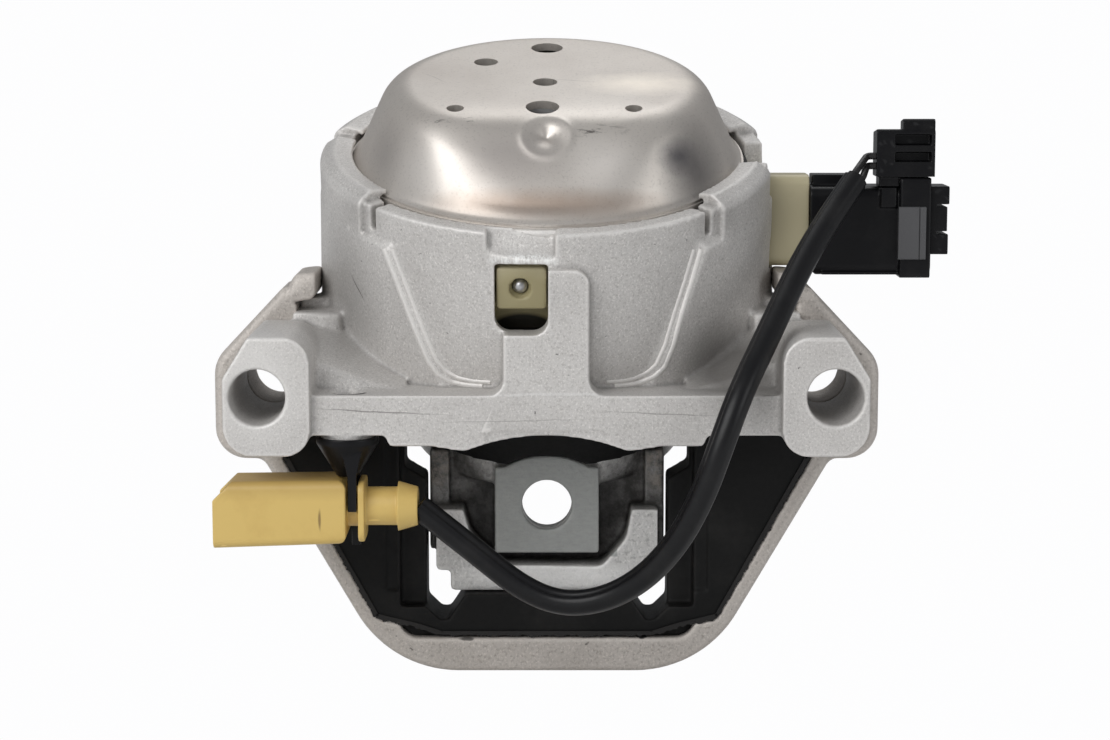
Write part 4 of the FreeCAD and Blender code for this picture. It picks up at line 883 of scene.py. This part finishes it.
def build_lip(material):
    """An arc of wall round the pot's axis."""
    verts = []
    for i in range(LIP_STEPS + 1):
        turn = math.radians(LIP_START + LIP_TURN * i / LIP_STEPS)
        for radius, height in LIP_SECTION:
            verts.append(Vector((radius * math.sin(turn), -radius * math.cos(turn), height)) * MM)
    count = len(LIP_SECTION)
    faces = [tuple(range(count)), tuple(LIP_STEPS * count + i for i in reversed(range(count)))]
    for i in range(LIP_STEPS):
        for j in range(count):
            k = (j + 1) % count
            faces.append((i * count + j, (i + 1) * count + j, (i + 1) * count + k, i * count + k))
    mesh = bpy.data.meshes.new("notch_lip")
    mesh.from_pydata(verts, [], faces)
    mesh.transform(POT)
    face_outward(mesh)
    piece = add_object("notch_lip", mesh, material)
    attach(piece, "mount")


# Rubber spring: between the pot and the core

def build_spring():
    """The softened spring, left in place without a body."""
    piece = soften("main_rubber_spring", body=None)
    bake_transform(piece)


# Rubber flash: thin ragged skin where the moulded rubber spilled over the loop's front

def flash_strip(start, end):
    """The film's near and far edge along one stretch of the rubber."""
    a = Vector((start[0], 0, start[1]))
    b = Vector((end[0], 0, end[1]))
    along = (b - a).normalized()
    outward = Vector((along.z, 0, -along.x))
    if outward.dot((a + b) / 2 - Vector(LOOP_MIDDLE)) < 0:
        outward = -outward
    steps = max(2, int((b - a).length / FLASH_STEP))
    strip = []
    for k in range(steps + 1):
        place = a + (b - a) * k / steps
        ragged = noise.noise(place * 0.9) + 0.7 * noise.noise(place * 2.7)
        blot = max(0.0, noise.noise(place * 0.16 + Vector((3, 1, 2))))
        reach = max(FLASH_LEAST, FLASH_REACH + FLASH_RAGGED * ragged + FLASH_BLOT * blot)
        strip.append((place - outward * FLASH_ROOT, place + outward * reach))
    return strip


def build_flash(material):
    """A ragged film along the rubber's edge, one closed strip for each stretch."""
    front = LOOP_FRONT - FLASH_PROUD
    back = front + FLASH_THICKNESS
    verts = []
    faces = []
    for start, end in zip(FLASH_EDGE, FLASH_EDGE[1:]):
        strip = flash_strip(start, end)
        base = len(verts)
        for edges in strip:
            for spot in edges:
                verts.append((spot.x * MM, front * MM, spot.z * MM))
                verts.append((spot.x * MM, back * MM, spot.z * MM))
        steps = len(strip) - 1
        for k in range(steps):
            n0, m0, f0, g0 = (base + 4 * k + j for j in range(4))
            n1, m1, f1, g1 = (base + 4 * (k + 1) + j for j in range(4))
            faces += [(n0, n1, f1, f0), (f0, f1, g1, g0), (m0, g0, g1, m1), (n0, m0, m1, n1)]
        n0, m0, f0, g0 = (base + j for j in range(4))
        n1, m1, f1, g1 = (base + 4 * steps + j for j in range(4))
        faces += [(n0, f0, g0, m0), (n1, m1, g1, f1)]
    mesh = bpy.data.meshes.new("rubber_flash")
    mesh.from_pydata(verts, [], faces)
    face_outward(mesh)
    piece = add_object("rubber_flash", mesh, material)
    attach(piece, "mount")


# Cable

def jacket_section():
    """The jacket's outline: a circle with two flats and two narrow grooves along it."""
    data = bpy.data.curves.new("jacket_section", "CURVE")
    data.dimensions = "2D"
    outline = data.splines.new("POLY")
    outline.points.add(JACKET_SIDES - 1)
    for i, point in enumerate(outline.points):
        turn = 2 * math.pi * i / JACKET_SIDES
        flat = max(0.0, math.cos(2 * turn)) ** 4
        groove = sum(math.exp(-(math.sin(turn / 2 - half) / GROOVE_WIDTH) ** 2) for half in GROOVE_HALF_TURNS)
        radius = CABLE_DIAMETER / 2 * (1 - FLAT_DEPTH * flat - GROOVE_DEPTH * groove)
        point.co = (radius * math.cos(turn), radius * math.sin(turn), 0, 1)
    outline.use_cyclic_u = True
    return bpy.data.objects.new("jacket_section", data)


def add_cable(material):
    """The free lead from the wires down to the pale connector."""
    places = [tuple(MM * c for c in place) for place in CABLE_ROUTE]
    data = nurbs_line("lead_conduit", places, 3)
    data.resolution_u = 12
    data.bevel_mode = "OBJECT"
    data.bevel_object = jacket_section()
    cable = add_object("lead_conduit", data, material)
    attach(cable, "mount")
    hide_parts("cable")


# Stage

def add_camera():
    """The photo's own viewpoint."""
    data = bpy.data.cameras.new("camera")
    data.lens = LENS
    data.sensor_width = SENSOR_WIDTH
    camera = add_object("camera", data)
    camera.location = CAMERA_PLACE
    camera.rotation_euler = (CAMERA_PITCH, 0, 0)
    bpy.context.scene.camera = camera


def add_lamp(name, place, target, size, power):
    """A round lamp that looks at its target."""
    data = bpy.data.lights.new(name, "AREA")
    data.shape = "DISK"
    data.size = size
    data.energy = power
    lamp = add_object(name, data)
    lamp.location = place
    lamp.rotation_euler = (Vector(target) - Vector(place)).to_track_quat("-Z", "Y").to_euler()


def mix_for_camera(tree, lit, seen, output):
    """The camera sees one shader while the light that falls on the part comes from the other."""
    mix = tree.nodes.new("ShaderNodeMixShader")
    path = tree.nodes.new("ShaderNodeLightPath")
    tree.links.new(path.outputs["Is Camera Ray"], mix.inputs[0])
    tree.links.new(lit.outputs[0], mix.inputs[1])
    tree.links.new(seen.outputs[0], mix.inputs[2])
    tree.links.new(mix.outputs[0], output.inputs["Surface"])


def add_floor():
    """A pale floor under the part."""
    below = low.z - FLOOR_DROP
    corners = [(-1, -1), (1, -1), (1, 1), (-1, 1)]
    mesh = bpy.data.meshes.new("floor")
    mesh.from_pydata([(FLOOR_REACH * x, FLOOR_REACH * y, below) for x, y in corners], [], [(0, 1, 2, 3)])
    material = bpy.data.materials.new("floor")
    material.use_nodes = True
    tree = material.node_tree
    lit = tree.nodes["Principled BSDF"]
    lit.inputs["Base Color"].default_value = FLOOR_COLOR
    lit.inputs["Roughness"].default_value = FLOOR_ROUGH
    seen = tree.nodes.new("ShaderNodeEmission")
    seen.inputs["Color"].default_value = BACKGROUND
    mix_for_camera(tree, lit, seen, tree.nodes["Material Output"])
    floor = add_object("floor", mesh, material)


def add_world():
    """Soft grey light all round, and a white background for the camera."""
    world = bpy.data.worlds.new("studio")
    bpy.context.scene.world = world
    world.use_nodes = True
    tree = world.node_tree
    tree.nodes.clear()
    lit = tree.nodes.new("ShaderNodeBackground")
    lit.inputs["Color"].default_value = SOFT_LIGHT
    lit.inputs["Strength"].default_value = SOFT_STRENGTH
    seen = tree.nodes.new("ShaderNodeBackground")
    seen.inputs["Color"].default_value = BACKGROUND
    mix_for_camera(tree, lit, seen, tree.nodes.new("ShaderNodeOutputWorld"))


def build_part(materials):
    """All pieces that stand for CAD nodes or are added to them."""
    build_cap(materials["cap_steel"])
    build_lip(materials["cast_housing"])
    build_spring()
    build_flash(materials["rubber"])
    housing = soften("housing", zones=HOUSING_FILLETS)
    add_beads(housing)
    ring = soften("ring_bracket")
    bend_arms(ring)
    soften("ring_liner")
    soften("core", "core")
    for node in ("terminal_carrier", "plug_body", "plug_end_lock", "wire_cover", "cable_clip"):
        soften(node)
    far_connector = soften("far_connector")
    add_cable(materials["cable_jacket"])


add_camera()
bpy.context.scene.view_settings.view_transform = "Standard"
MATERIALS = build_materials()
dress_nodes(MATERIALS)
build_part(MATERIALS)
add_floor()
add_world()
for name, place, target, size, power in LAMPS:
    add_lamp(name, place, target, size, power)
